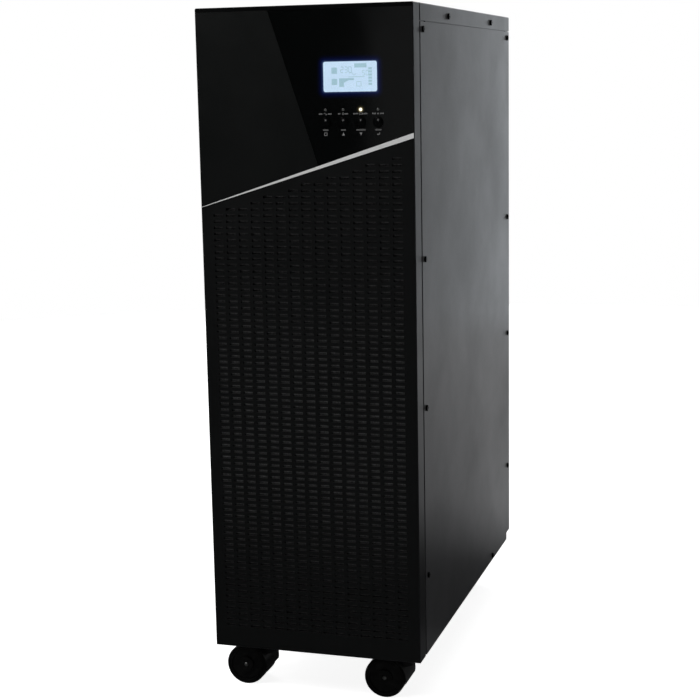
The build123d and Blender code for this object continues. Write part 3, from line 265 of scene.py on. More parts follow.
def gloss_acrylic():
    """Black-backed acrylic sheet, with a painted glow of emission on it round the display and the lit lamp.
    """
    sheet = Surface("gloss_acrylic", (0.0015, 0.0018, 0.0018), 0.06, specular=0.45)
    worn_roughness(sheet, 0.05, 0.11, 0.05)
    sheet.bump(sheet.noise(0.03, 1), 0.00006, 0.12)
    low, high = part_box("lcd_window")
    inset = 1.5 * MM
    beyond = []
    for offset, size in zip(sheet.offsets((low + high) / 2), (high.x - low.x, high.z - low.z)):
        outside = sheet.combine(sheet.combine(offset, 0.0, "ABSOLUTE"), size / 2 - inset, "SUBTRACT")
        beyond.append(sheet.combine(outside, 0.0, "MAXIMUM"))
    from_display = sheet.combine(sheet.squared(*beyond), 0.5, "POWER")
    lamp = sum(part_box("led_lenses"), Vector()) / 2
    lamp.x = sum(corner.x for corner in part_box(LIT_BUTTON)) / 2
    from_lamp = sheet.combine(sheet.squared(*sheet.offsets(lamp)), 0.5, "POWER")
    # Painted glow: each row is a halo of emission on the sheet that fades out from the display or from the
    # lit lamp.
    # (distance from the source, where its light is full and where it ends, colour of the light)
    painted_halos = (
        (from_display, 1.5 * MM, 10.0 * MM, (0.001, 0.004, 0.05)),
        (from_display, 1.5 * MM, 4.5 * MM, (0.025, 0.045, 0.075)),
        (from_lamp, 1.4 * MM, 5.5 * MM, (0.05, 0.04, 0.016)),
        (from_lamp, 1.2 * MM, 3.0 * MM, (1.0, 0.86, 0.5)),
    )
    light = None
    for distance, near, far, colour in painted_halos:
        fading = sheet.combine(sheet.spread(distance, near, far, 1.0, 0.0), 2.0, "POWER")
        painted_halo = sheet.mix(fading, (0, 0, 0), colour)
        if light is not None:
            both = sheet.node("ShaderNodeMix", data_type="RGBA", blend_type="ADD")
            both.inputs["Factor"].default_value = 1.0
            sheet.feed(both.inputs[6], light)
            sheet.feed(both.inputs[7], painted_halo)
            painted_halo = both.outputs[2]
        light = painted_halo
    sheet.set("Emission Color", light)
    sheet.set("Emission Strength", 1.0)
    return sheet.material


def domed_button(name):
    """Smooth black cap that bulges a little around its middle."""
    cap = Surface(name, (0.0015, 0.0017, 0.0018), 0.24, specular=0.13)
    worn_roughness(cap, 0.2, 0.28, 0.01)
    crown = sum(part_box(name), Vector()) / 2 + Vector((1.3 * MM, 0, 0))
    fall_per_square_metre = -85.0
    cap.bump(cap.combine(cap.squared(*cap.offsets(crown)), fall_per_square_metre, "MULTIPLY"), 1.0)
    return cap.material


def brushed_silver():
    """Satin silver foil, brushed along the strip."""
    foil = Surface("silver", (0.8, 0.8, 0.79), 0.34, metallic=0.35)
    streaks = foil.noise(0.0005, 3, stretch=(0.02, 1, 1))
    foil.set("Roughness", foil.spread(streaks, 0.3, 0.7, 0.28, 0.4))
    foil.set("Base Color", foil.mix(streaks, (0.76, 0.76, 0.755), (0.84, 0.84, 0.835)))
    foil.bump(streaks, 0.000004, 0.3)
    return foil.material


def clear_lens():
    """Clear acrylic window over the display."""
    lens = Surface("clear_lens", (0.96, 0.98, 1.0), 0.03)
    lens.set("Transmission Weight", 1.0)
    lens.set("IOR", 1.49)
    lens.set("Roughness", lens.spread(lens.noise(0.02, 3), 0.3, 0.7, 0.015, 0.05))
    return lens.material


def display_frame():
    """Black frame of the display module."""
    black = (0.02, 0.02, 0.024)
    module = Surface("display", black, 0.5)
    speckled(module, black, 0.0008, 0.8, 1.2)
    module.bump(module.noise(MOULD_GRAIN, 2), MOULD_DEPTH, 0.4)
    return module.material


def circuit_board():
    """Green solder mask over copper tracks."""
    board = Surface("circuit_board", (0.01, 0.09, 0.035), 0.32)
    tracks = board.node("ShaderNodeTexBrick", offset=0.35, squash=0.6)
    values = {
        "Vector": board.place,
        "Scale": 90,
        "Mortar Size": 0.012,
        "Color1": (0.008, 0.075, 0.03, 1),
        "Color2": (0.01, 0.095, 0.038, 1),
        "Mortar": (0.03, 0.17, 0.06, 1),
    }
    for socket, value in values.items():
        board.feed(tracks.inputs[socket], value)
    board.set("Base Color", tracks.outputs["Color"])
    board.bump(tracks.outputs["Fac"], 0.00004, 0.5)
    return board.material


def foam():
    """Open-cell filter foam, black where it is clean and grey where dust fills its pores; the grey, strongest
    around the middle of the grille, is also painted light that brightens the slots in front of it.
    """
    sponge = Surface("filter_foam", (0.02, 0.02, 0.021), 0.95, specular=0.2)
    pores = sponge.cells(0.0016)
    dust_and_light_grey = sponge.mix(sponge.spread(pores, 0.1, 0.7), (0.05, 0.05, 0.05), (0.17, 0.17, 0.172))
    # Partly painted light: the foam is mixed to grey by height so the slots in front of it look lit.
    sponge.set("Base Color", sponge.mix(dust_and_highlight_by_height(sponge), (0.006, 0.006, 0.006), dust_and_light_grey))
    sponge.bump(pores, 0.0006, 0.8)
    return sponge.material


def zinc():
    """Zinc-plated steel with its spangle and passivation tint."""
    steel = Surface("zinc_steel", (0.55, 0.56, 0.56), 0.35, metallic=1.0)
    spangle = steel.cells(0.006)
    tint = steel.spread(spangle, 0.1, 0.8)
    steel.set("Base Color", steel.mix(tint, (0.5, 0.51, 0.5), (0.62, 0.62, 0.6)))
    steel.set("Roughness", steel.spread(spangle, 0.1, 0.8, 0.25, 0.42))
    steel.bump(steel.noise(0.0008, 3), 0.00001, 0.3)
    return steel.material


def metal(name, dark, bright, low, high, size=0.0006, stretch=None):
    """Bare metal with fine marks."""
    bare = Surface(name, bright, low, metallic=1.0)
    marks = bare.noise(size, 4, stretch=stretch)
    bare.set("Base Color", bare.mix(marks, dark, bright))
    bare.set("Roughness", bare.spread(marks, 0.3, 0.7, low, high))
    bare.bump(marks, 0.00001, 0.4)
    return bare.material


def wheel_nylon():
    """Black nylon tread, greyed where it has rolled."""
    tyre = Surface("wheel_nylon", (0.004, 0.004, 0.0042), 0.4, specular=0.2)
    dust = tyre.spread(tyre.noise(0.006, 6, rough=0.7), 0.5, 0.75)
    tyre.set("Base Color", tyre.mix(dust, (0.0018, 0.0018, 0.002), (0.006, 0.0058, 0.0055)))
    tyre.set("Roughness", tyre.spread(tyre.noise(0.01, 4), 0.3, 0.7, 0.28, 0.5))
    tyre.bump(tyre.noise(0.0008, 2), 0.00003, 0.4)
    return tyre.material


def glow(name, colour, strength):
    """A lit surface whose brightness drifts a little."""
    lit = Surface(name, (0.02, 0.022, 0.024), 0.5)
    uneven = lit.spread(lit.noise(0.012, 2), 0.3, 0.7)
    lit.set("Emission Color", lit.mix(uneven, shade(colour, 0.94), colour))
    lit.set("Emission Strength", strength)
    return lit.material


LOOKS = {
    "bezel_plastic": bezel_plastic(),
    "grille_plastic": grille_painted_highlight(),
    "matt_panel": moulded("matt_panel", (0.0028, 0.0034, 0.0033), 0.32, 0.42, specular=0.25),
    "gloss_acrylic": gloss_acrylic(),
    "silver": brushed_silver(),
    "clear_lens": clear_lens(),
    "display": display_frame(),
    "led_lens": moulded("led_lens", (0.06, 0.062, 0.06), 0.12, 0.2),
    "circuit_board": circuit_board(),
    "black_part": moulded("black_part", (0.012, 0.012, 0.0125), 0.34, 0.48),
    "filter_foam": foam(),
    "case_paint": powder_coat(),
    "zinc_steel": zinc(),
    "battery_case": moulded("battery_case", (0.03, 0.031, 0.034), 0.4, 0.55, grain=0.001, depth=0.00005),
    "red_insulation": moulded("red_insulation", (0.35, 0.012, 0.008), 0.35, 0.5),
    "bare_aluminium": metal(
        "bare_aluminium", (0.6, 0.6, 0.61), (0.78, 0.78, 0.79), 0.3, 0.45, stretch=(1, 0.05, 1)),
    "capacitor_sleeve": moulded("capacitor_sleeve", (0.012, 0.016, 0.05), 0.2, 0.3),
    "enamelled_copper": metal(
        "enamelled_copper", (0.42, 0.12, 0.03), (0.7, 0.26, 0.08), 0.2, 0.3, stretch=(1, 1, 0.1)),
    "guard_steel": metal("guard_steel", (0.5, 0.5, 0.5), (0.72, 0.72, 0.72), 0.2, 0.34),
    "breaker_body": moulded("breaker_body", (0.035, 0.035, 0.037), 0.38, 0.5),
    "breaker_lever": moulded("breaker_lever", (0.02, 0.02, 0.022), 0.3, 0.42),
    "brass_stud": metal("brass_stud", (0.5, 0.34, 0.12), (0.78, 0.56, 0.22), 0.2, 0.4),
    "port_steel": metal("port_steel", (0.5, 0.5, 0.5), (0.7, 0.7, 0.7), 0.22, 0.36),
    "green_plastic": moulded("green_plastic", (0.02, 0.16, 0.05), 0.35, 0.5),
    "black_screw": metal("black_screw", (0.006, 0.006, 0.006), (0.02, 0.02, 0.02), 0.3, 0.45),
    "caster_plastic": moulded("caster_plastic", (0.0022, 0.0022, 0.0024), 0.24, 0.34, specular=0.2),
    "wheel_nylon": wheel_nylon(),
}

for name, node in NODES.items():
    for material_slot in node.material_slots:
        finish = material_slot.material.name
        material_slot.material = domed_button(name) if finish == "button_plastic" else LOOKS[finish]

# ---------------------------------------------------------------- camera, light and floor

CAMERA_PLACE = Vector((0.5488, -1.89965, 0.720))
CAMERA_TURNS = (17.133, 9.872, -1.077)  # degrees to the left, down and clockwise
CAMERA_LENS = 79.54


def make_camera():
    """Camera at the photograph's viewing angle."""
    yaw, pitch, roll = (math.radians(turn) for turn in CAMERA_TURNS)
    ahead = Vector((-math.sin(yaw) * math.cos(pitch), math.cos(yaw) * math.cos(pitch), -math.sin(pitch)))
    level = Vector((math.cos(yaw), math.sin(yaw), 0))
    upward = level.cross(ahead)
    right = math.cos(roll) * level + math.sin(roll) * upward
    above = math.cos(roll) * upward - math.sin(roll) * level
    camera = bpy.data.objects.new("camera", bpy.data.cameras.new("camera"))
    camera.data.lens = CAMERA_LENS
    camera.data.sensor_width = 36
    camera.matrix_world = Matrix((right, above, -ahead)).transposed().to_4x4()
    camera.location = CAMERA_PLACE
    bpy.context.scene.collection.objects.link(camera)
    bpy.context.scene.camera = camera


def area_light(name, place, target, size, watts, tint=(1, 1, 1)):
    """A softbox of size (width, height) facing its target."""
    lamp = bpy.data.lights.new(name, "AREA")
    lamp.shape = "RECTANGLE"
    lamp.size, lamp.size_y = size
    lamp.energy = watts
    lamp.color = tint
    light = bpy.data.objects.new(name, lamp)
    light.location = place
    light.rotation_euler = (Vector(target) - Vector(place)).to_track_quat("-Z", "Y").to_euler()
    light.visible_camera = False
    bpy.context.scene.collection.objects.link(light)


def studio_world():
    """White where the camera looks past the object. The light it gives is a dim room that is
    brighter behind the object, and darker towards the ground."""
    world = bpy.data.worlds.new("studio")
    world.use_nodes = True
    bpy.context.scene.world = world
    tree = world.node_tree
    room = tree.nodes["Background"]
    white = tree.nodes.new("ShaderNodeBackground")
    for background in (room, white):
        background.inputs["Color"].default_value = (1, 1, 1, 1)
    direction = tree.nodes.new("ShaderNodeTexCoord").outputs["Generated"]
    behind = ((0.1, 1, 0.05), (-0.5, 0.95, 0.006, 0.12))
    above_ground = ((0, 0, 1), (-0.4, -0.15, 0.1, 1.0))
    levels = []
    for toward, ramp in (behind, above_ground):
        facing = tree.nodes.new("ShaderNodeVectorMath")
        facing.operation = "DOT_PRODUCT"
        facing.inputs[1].default_value = Vector(toward).normalized()
        tree.links.new(direction, facing.inputs[0])
        fade = tree.nodes.new("ShaderNodeMapRange")
        fade.interpolation_type = "SMOOTHSTEP"
        tree.links.new(facing.outputs["Value"], fade.inputs["Value"])
        for name, number in zip(RANGE_SOCKETS, ramp):
            fade.inputs[name].default_value = number
        levels.append(fade.outputs["Result"])
    level = tree.nodes.new("ShaderNodeMath")
    level.operation = "MULTIPLY"
    for socket, output in zip(level.inputs, levels):
        tree.links.new(output, socket)
    tree.links.new(level.outputs[0], room.inputs["Strength"])
    rays = tree.nodes.new("ShaderNodeLightPath")
    chosen = tree.nodes.new("ShaderNodeMixShader")
    tree.links.new(rays.outputs["Is Camera Ray"], chosen.inputs[0])
    tree.links.new(room.outputs[0], chosen.inputs[1])
    tree.links.new(white.outputs[0], chosen.inputs[2])
    tree.links.new(chosen.outputs[0], tree.nodes["World Output"].inputs["Surface"])


FLOOR_RADIUS = 3.0
SHINE_REACH = 2.6  # half the side of the square that only glossy surfaces see
SHINE_HEIGHT = 0.5 * MM


def studio_floor():
    """Pale floor that brightens into the white beyond it."""
    mesh = bmesh.new()
    bmesh.ops.create_circle(mesh, cap_ends=True, segments=96, radius=FLOOR_RADIUS)
    floor = bpy.data.objects.new("floor", bpy.data.meshes.new("floor"))
    mesh.to_mesh(floor.data)
    mesh.free()
    pale = Surface("floor", (0.86, 0.86, 0.86), 0.9, specular=0.0)
    length = pale.node("ShaderNodeVectorMath", operation="LENGTH")
    pale.feed(length.inputs[0], pale.place)
    edge = pale.spread(length.outputs["Value"], 0.3, 1.4, 0.9, 1.0)
    pale.set("Emission Color", (1, 1, 1, 1))
    pale.set("Emission Strength", edge)
    floor.data.materials.append(pale.material)
    floor.visible_glossy = False
    bpy.context.scene.collection.objects.link(floor)


def floor_shine():
    """What glossy surfaces see of the floor: dark near the object, bright behind it, and
    brightest in line with the right side panel."""
    mesh = bmesh.new()
    bmesh.ops.create_grid(mesh, x_segments=1, y_segments=1, size=SHINE_REACH)
    shine = bpy.data.objects.new("floor_shine", bpy.data.meshes.new("floor_shine"))
    mesh.to_mesh(shine.data)
    mesh.free()
    lit = Surface("floor_shine", (0, 0, 0), 1.0, specular=0.0)
    lit.set("Emission Color", (0.97, 0.98, 1, 1))
    depth = lit.axis("Y")
    near, far = lit.spread(depth, 0.3, 0.62, 0.05, 0.56), lit.spread(depth, 0.62, 2.0, 0.0, 0.25)
    from_side = lit.combine(lit.axis("X"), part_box("right_side_panel")[1].x, "SUBTRACT")
    across = lit.combine(from_side, depth, "DIVIDE")
    fade = lit.spread(across, 0.1, 0.33, 1.25, 0.34)
    lit.set("Emission Strength", lit.combine(lit.combine(near, far), fade, "MULTIPLY"))
    shine.data.materials.append(lit.material)
    shine.location.z = SHINE_HEIGHT
    for unseen in ("camera", "diffuse", "transmission", "shadow", "volume_scatter"):
        setattr(shine, "visible_" + unseen, False)
    bpy.context.scene.collection.objects.link(shine)


make_camera()
studio_world()
studio_floor()
floor_shine()
COOL = (0.9, 0.95, 1)
# name, place, target, (width, height), watts, tint
area_light("key", (-1.5, -1.9, 2.4), (0, 0, 0.3), (1.2, 1.2), 45)
area_light("top", (0.2, 0.6, 3.0), (0, 0, 0), (2.4, 2.4), 14)
area_light("backdrop", (0.25, 1.6, 0.73), (0.25, 0, 0.73), (0.3, 1.14), 2.3, COOL)
area_light("backdrop_edge", (0.55, 1.6, 0.66), (0.55, 0, 0.66), (0.3, 1.28), 0.15, COOL)
area_light("front_softbox", (-0.62, -3.4, 0.78), (0.1, -0.3, 0.72), (0.42, 1.0), 0.22)
area_light("rear_fill", (-1.9, 2.2, 1.5), (0, 0.27, 0.4), (1.0, 1.2), 20)
bpy.context.scene.view_settings.view_transform = "Standard"

# ---------------------------------------------------------------- mesh helpers


def add_prism(mesh, outline, y_front, y_back):
    """A plate with an (x, z) outline, from its front face to its back face."""
    front = [mesh.verts.new((x, y_front, z)) for x, z in outline]
    back = [mesh.verts.new((x, y_back, z)) for x, z in outline]
    mesh.faces.new(front)
    mesh.faces.new(back[::-1])
    for i in range(len(outline)):
        mesh.faces.new((front[i - 1], back[i - 1], back[i], front[i]))


def around(radius, turn):
    """A point's offset from an axis along Y, turned from +X towards +Z."""
    return Vector((radius * math.cos(turn), 0, radius * math.sin(turn)))


def add_lathe(mesh, profile, place, segments=48):
    """A closed turned shape about the Y axis through place, from (radius, depth) pairs that
    start and end on the axis."""
    rings = []
    for radius, depth in profile:
        at = Vector(place) + Vector((0, depth, 0))
        if radius == 0:
            rings.append([mesh.verts.new(at)])
            continue
        turns = [FULL_TURN * i / segments for i in range(segments)]
        rings.append([mesh.verts.new(at + around(radius, turn)) for turn in turns])
    for near, far in zip(rings, rings[1:]):
        for i in range(segments):
            edge = (near[i % len(near)], near[(i + 1) % len(near)])
            next_edge = (far[(i + 1) % len(far)], far[i % len(far)])
            mesh.faces.new(list(dict.fromkeys(edge + next_edge)))


def dome(radius, rise):
    """Profile of a dome from its top to its rim, for add_lathe."""
    angles = [math.radians(angle) for angle in range(0, 91, 15)]
    return [(radius * math.sin(angle), rise * math.cos(angle)) for angle in angles]


def add_tube(mesh, points, radius, closed=False, sides=12):
    """A round wire along points that lie in one plane facing Y."""
    count = len(points)
    rings = []
    for i, point in enumerate(points):
        before = points[i - 1] if closed or i else point
        after = points[(i + 1) % count] if closed or i < count - 1 else point
        along = (Vector(after) - Vector(before)).normalized()
        side = along.cross(Vector((0, 1, 0))).normalized()
        depth = side.cross(along)
        turns = [FULL_TURN * k / sides for k in range(sides)]
        offsets = [radius * (math.cos(t) * side + math.sin(t) * depth) for t in turns]
        rings.append([mesh.verts.new(Vector(point) + offset) for offset in offsets])
    pairs = list(zip(rings, rings[1:]))
    if closed:
        pairs.append((rings[-1], rings[0]))
    for near, far in pairs:
        for k in range(sides):
            mesh.faces.new((near[k - 1], near[k], far[k], far[k - 1]))
    if not closed:
        mesh.faces.new(rings[0])
        mesh.faces.new(rings[-1][::-1])


def arc(centre, radius, start, end, steps):
    """(x, z) points along an arc, angles in degrees from +X towards +Z."""
    turns = [math.radians(start + (end - start) * i / steps) for i in range(steps + 1)]
    return [(centre[0] + radius * math.cos(t), centre[1] + radius * math.sin(t)) for t in turns]


def box_outline(x, z):
    """Outline of a rectangle, from (low, high) in x and in z."""
    return [(x[0], z[0]), (x[1], z[0]), (x[1], z[1]), (x[0], z[1])]


def rounded(x, z, radius, steps=6):
    """Outline of a rectangle with round corners, from (low, high) in x and in z."""
    corners = ((x[1], z[1], 0), (x[0], z[1], 90), (x[0], z[0], 180), (x[1], z[0], 270))
    outline = []
    for corner_x, corner_z, start in corners:
        inward_x = -radius if corner_x == x[1] else radius
        inward_z = -radius if corner_z == z[1] else radius
        outline += arc((corner_x + inward_x, corner_z + inward_z), radius, start, start + 90, steps)
    return outline


def stroke(points, width):
    """Outline of a line of that width through (x, z) points."""
    left, right = [], []
    for i, point in enumerate(points):
        before, after = points[max(i - 1, 0)], points[min(i + 1, len(points) - 1)]
        along = (Vector(after) - Vector(before)).normalized()
        side = Vector((-along.y, along.x)) * width / 2
        left.append((point[0] + side.x, point[1] + side.y))
        right.append((point[0] - side.x, point[1] - side.y))
    return left + right[::-1]


def make_piece(mesh, name, look, body, sharp=35):
    """Turns a finished bmesh into a piece that rides on a body, smooth but for edges over sharp degrees."""
    bmesh.ops.recalc_face_normals(mesh, faces=mesh.faces)
    for face in mesh.faces:
        face.smooth = True
    for edge in mesh.edges:
        edge.smooth = edge.calc_face_angle(0) < math.radians(sharp)
    data = bpy.data.meshes.new(name)
    mesh.to_mesh(data)
    mesh.free()
    data.materials.append(look)
    piece = bpy.data.objects.new(name, data)
    bpy.context.scene.collection.objects.link(piece)
    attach(piece, body)
    return piece


# ---------------------------------------------------------------- display

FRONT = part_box("display_fascia")[0].y
WINDOW_LOW, WINDOW_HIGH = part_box("lcd_window")
SCREEN_FRONT = WINDOW_HIGH.y + 0.75 * MM
SCREEN_MARGIN = 0.7 * MM
SEGMENT_FRONT = SCREEN_FRONT - 0.08 * MM
SEGMENT_BACK = SCREEN_FRONT + 0.02 * MM


def display_screen():
    """Lit face of the liquid-crystal panel."""
    x = (WINDOW_LOW.x - SCREEN_MARGIN, WINDOW_HIGH.x + SCREEN_MARGIN)
    z = (WINDOW_LOW.z - SCREEN_MARGIN, WINDOW_HIGH.z + SCREEN_MARGIN)
    mesh = bmesh.new()
    add_prism(mesh, rounded(x, z, 1.5 * MM), SCREEN_FRONT, SCREEN_FRONT + 0.5 * MM)
    lit = glow("screen", (0.62, 0.8, 0.98), 1.0)
    make_piece(mesh, "display_screen", lit, "cabinet")


# The lit bars of the digits that the display shows
SEGMENTS = {"0": "abcdef", "2": "abged", "3": "abgcd", "5": "afgcd"}


def seven_segments(digit, x, z, wide, tall, thick):
    """Outlines of one digit whose lower left corner is at x, z."""
    middle = z + tall / 2
    bars = {
        "a": ((x, z + tall), (x + wide, z + tall)),
        "g": ((x, middle), (x + wide, middle)),
        "d": ((x, z), (x + wide, z)),
        "f": ((x, middle), (x, z + tall)),
        "b": ((x + wide, middle), (x + wide, z + tall)),
        "e": ((x, z), (x, middle)),
        "c": ((x + wide, z), (x + wide, middle)),
    }
    outlines = []
    for key in SEGMENTS[digit]:
        start, end = (Vector(point) for point in bars[key])
        inset = (end - start).normalized() * thick * 0.35
        outlines.append(stroke([tuple(start + inset), tuple(end - inset)], thick))
    return outlines


def sine_wave(x, z, wide, tall, thick):
    """One period of a wave that starts at x, z."""
    steps = 16
    shares = [i / steps for i in range(steps + 1)]
    return stroke([(x + wide * share, z + tall / 2 * math.sin(FULL_TURN * share)) for share in shares], thick)


def frame_outlines(x, z, thick):
    """Four bars round a rectangle."""
    return [
        stroke([(x[0], z[0]), (x[1], z[0])], thick),
        stroke([(x[0], z[1]), (x[1], z[1])], thick),
        stroke([(x[0], z[0]), (x[0], z[1])], thick),
        stroke([(x[1], z[0]), (x[1], z[1])], thick),
    ]


def on_screen(x, z):
    """A place on the display, from millimetres right of and above the window's lower left corner."""
    return WINDOW_LOW.x + x * MM, WINDOW_LOW.z + z * MM


def screen_box(left, low, right, high):
    """(low, high) in x and in z of a rectangle on the display."""
    start, end = on_screen(left, low), on_screen(right, high)
    return (start[0], end[0]), (start[1], end[1])


def reading(digits, left, low, pitch, wide, tall, thick):
    """Outlines of a number on the display, sizes in millimetres."""
    outlines = []
    for i, digit in enumerate(digits):
        place = on_screen(left + pitch * i, low)
        outlines += seven_segments(digit, *place, wide * MM, tall * MM, thick * MM)
    return outlines


def display_segments():
    """Dark segments: mains and battery boxes at the left, readings, the power path and a load bar."""
    outlines = [rounded(*screen_box(8.6, low, 15.0, low + 6.6), 0.6 * MM, 3) for low in (7.2, 19.2)]
    power_path = (
        (17.2, 5.0), (22.6, 5.0), (22.6, 9.4), (27.6, 12.0), (34.0, 12.0), (34.0, 14.2), (17.2, 14.2))
    outlines.append([on_screen(*corner) for corner in power_path])
    outlines += reading("230", 19.0, 20.4, 4.6, 3.0, 6.0, 0.7)
    outlines.append(box_outline(*screen_box(34.6, 25.4, 48.4, 29.8)))
    outlines += reading("50", 43.6, 17.2, 4.2, 2.6, 5.0, 0.6)
    outlines.append(stroke([on_screen(28.0, 15.6), on_screen(46.0, 15.6)], 0.7 * MM))
    outlines.append(sine_wave(*on_screen(29.0, 19.0), 7.0 * MM, 3.0 * MM, 0.6 * MM))
    outlines += frame_outlines(*screen_box(37.0, 5.6, 42.0, 10.4), 0.6 * MM)
    for step in range(6):
        low = 6.6 + 3.3 * step
        outlines.append(box_outline(*screen_box(50.4, low, 54.4, low + 2.4)))
    mesh = bmesh.new()
    for outline in outlines:
        add_prism(mesh, outline, SEGMENT_FRONT, SEGMENT_BACK)
    dim = glow("segments", (0.38, 0.58, 0.66), 1.0)
    make_piece(mesh, "display_segments", dim, "cabinet")


display_screen()
display_segments()

# ---------------------------------------------------------------- lamps and printed marks on the fascia

CONTROL_X = [sum(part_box(f"{name}_button")[i].x for i in range(2)) / 2 for name in CONTROLS]
BUTTON_Z = sum(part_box("up_button")[i].z for i in range(2)) / 2
LAMP_LOW, LAMP_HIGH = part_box("led_lenses")
LAMP_Z = (LAMP_LOW.z + LAMP_HIGH.z) / 2


def status_lamps():
    """Light pipes with domed ends in place of the plain rods."""
    radius, collar, rise, collar_length = 1.45 * MM, 2.3 * MM, 0.5 * MM, 1.1 * MM
    depth = LAMP_HIGH.y - FRONT
    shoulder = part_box("display_fascia")[1].y - FRONT + 0.05 * MM
    foot = shoulder + collar_length
    body = [(radius, shoulder), (collar, shoulder), (collar, foot), (radius, foot)]
    body += [(radius, depth), (0, depth)]
    for i, x in enumerate(CONTROL_X):
        mesh = bmesh.new()
        add_lathe(mesh, dome(radius, -rise) + body, (x, FRONT, LAMP_Z), 32)
        look = glow("lit_lamp", (1.0, 0.97, 0.86), 1.6) if i == LIT_LAMP else LOOKS["led_lens"]
        lamp = make_piece(mesh, f"status_lamp_{i + 1}", look, "cabinet")
        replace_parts(lamp, "led_lenses")


PRINT_FRONT = FRONT - 0.03 * MM
PRINT_BACK = FRONT + 0.01 * MM


def printed(outlines, name, brightness):
    """Screen-printed grey ink on the fascia's face."""
    grey = (brightness,) * 3
    ink = Surface(name, grey, 0.55)
    speckled(ink, grey, 0.0004, 0.85, 1.15)
    mesh = bmesh.new()
    for outline in outlines:
        add_prism(mesh, outline, PRINT_FRONT, PRINT_BACK)
    make_piece(mesh, name, ink.material, "cabinet")


def about(x, z, *places):
    """Points about x, z, from millimetres to the right and up."""
    return [(x + right * MM, z + up * MM) for right, up in places]


def lamp_signs(z):
    """Outlines of the small sign under each lamp: wave, circle, battery and triangle."""
    wave, circle, battery, warning = CONTROL_X
    plus = box_outline((battery + 1.7 * MM, battery + 2.1 * MM), (z - 0.4 * MM, z + 0.4 * MM))
    case = frame_outlines((battery - 1.7 * MM, battery + 1.5 * MM), (z - 0.9 * MM, z + 0.9 * MM), 0.4 * MM)
    return (
        [sine_wave(wave - 1.8 * MM, z, 3.6 * MM, 2.0 * MM, 0.5 * MM)],
        [stroke(arc((circle, z), 1.0 * MM, 0, 330, 16), 0.5 * MM)],
        case + [plus],
        [about(warning, z, (-1.3, -0.9), (1.3, -0.9), (0, 1.2))],
    )


def lamp_marks():
    """Under each lamp a row of plain dashes round its sign."""
    z = LAMP_Z - 4.4 * MM
    rows = (15.0, 11.6, 17.0, 13.0)
    pitch, ink_share, gap = 1.5 * MM, 0.62, 2.4 * MM
    outlines = []
    for x, row, sign in zip(CONTROL_X, rows, lamp_signs(z)):
        half = row / 2 * MM
        at = x - half
        while at < x + half - pitch / 2:
            if abs(at + pitch / 2 - x) > gap:
                dash = rounded((at, at + pitch * ink_share), (z - 0.75 * MM, z + 0.75 * MM), 0.2 * MM, 2)
                outlines.append(dash)
            at += pitch
        outlines += sign
    printed(outlines, "lamp_marks", 0.15)


def button_marks():
    """Below each button a short bar, and under it its sign: square, up, down and return arrow."""
    bar_z, sign_z = BUTTON_Z - 8.1 * MM, BUTTON_Z - 12.5 * MM
    bar_height = (bar_z - 0.85 * MM, bar_z + 0.85 * MM)
    bars = []
    for x, half in zip(CONTROL_X, (3.2, 3.0, 5.4, 3.6)):
        bars.append(rounded((x - half * MM, x + half * MM), bar_height, 0.8 * MM, 4))
    size = 1.5
    square, up, down, enter = CONTROL_X
    signs = frame_outlines(
        (square - size * MM, square + size * MM), (sign_z - size * MM, sign_z + size * MM), 0.5 * MM)
    signs.append(about(up, sign_z, (-size, -size), (size, -size), (0, size)))
    signs.append(about(down, sign_z, (0, -size), (size, size), (-size, size)))
    hook = about(enter, sign_z, (size, size), (size, -0.3 * size), (-0.2 * size, -0.3 * size))
    signs.append(stroke(hook[:2], 0.6 * MM))
    signs.append(stroke(hook[1:], 0.6 * MM))
    signs.append(about(enter, sign_z, (-size, -0.3 * size), (0, -size), (0, 0.4 * size)))
    printed(bars, "button_bars", 0.07)
    printed(signs, "button_signs", 0.2)


status_lamps()
lamp_marks()
button_marks()

# ---------------------------------------------------------------- fans

FAN_LOW, FAN_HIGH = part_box("fan_guards")
FAN_Z = (FAN_LOW.z + FAN_HIGH.z) / 2
AXLES = {joint["child"]: joint["pos_m"] for joint in frame["joints"] if "pos_m" in joint}
FANS = {side: (AXLES[f"{side}_fan"][0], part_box(f"{side}_fan_rotor")) for side in ("left", "right")}
GUARD_RINGS = (13.0, 21.0, 29.0, 37.0)
GUARD_WIRE = 0.8
SCREW_REACH = 35.75 * math.sqrt(2)
SCREW_EYE = 3.2


def fan_guard(side):
    """Welded finger guard: rings of round wire on four spokes that end in eyes under the screws."""
    wire = GUARD_WIRE * MM
    hub = Vector((FANS[side][0], FAN_LOW.y + wire, FAN_Z))
    mesh = bmesh.new()

    def add_ring(centre, radius, steps):
        points = [(x, hub.y, z) for x, z in arc((centre.x, centre.z), radius, 0, 360, steps)[:-1]]
        add_tube(mesh, points, wire, closed=True)

    for radius in GUARD_RINGS:
        add_ring(hub, radius * MM, 96)
    disc, rim = 5 * MM, 5.6 * MM
    add_lathe(mesh, [(0, -wire), (disc, -wire), (rim, 0), (disc, wire), (0, wire)], hub)
    for quarter in range(4):
        out = around(MM, math.radians(45 + 90 * quarter))
        add_tube(mesh, [hub + out * 4, hub + out * (SCREW_REACH - SCREW_EYE)], wire)
        add_ring(hub + out * SCREW_REACH, SCREW_EYE * MM, 24)
    return make_piece(mesh, f"{side}_fan_guard", LOOKS["guard_steel"], "cabinet", 50)


BLADES = 7
BLADE_GRID = (10, 12)  # faces from hub to tip, and along the chord
BLADE_CHORD = (34, 4)  # degrees at the hub, and how much more at the tip
BLADE_SWEEP = 14  # degrees that the tip runs ahead of the hub
BLADE_CAMBER = 0.22
BLADE_LEAN = (0.8, 0.6)  # how much of the thickness goes round the axle, and how much along it
ROTOR_BORE = (1.6 * MM, 12 * MM)  # radius and depth


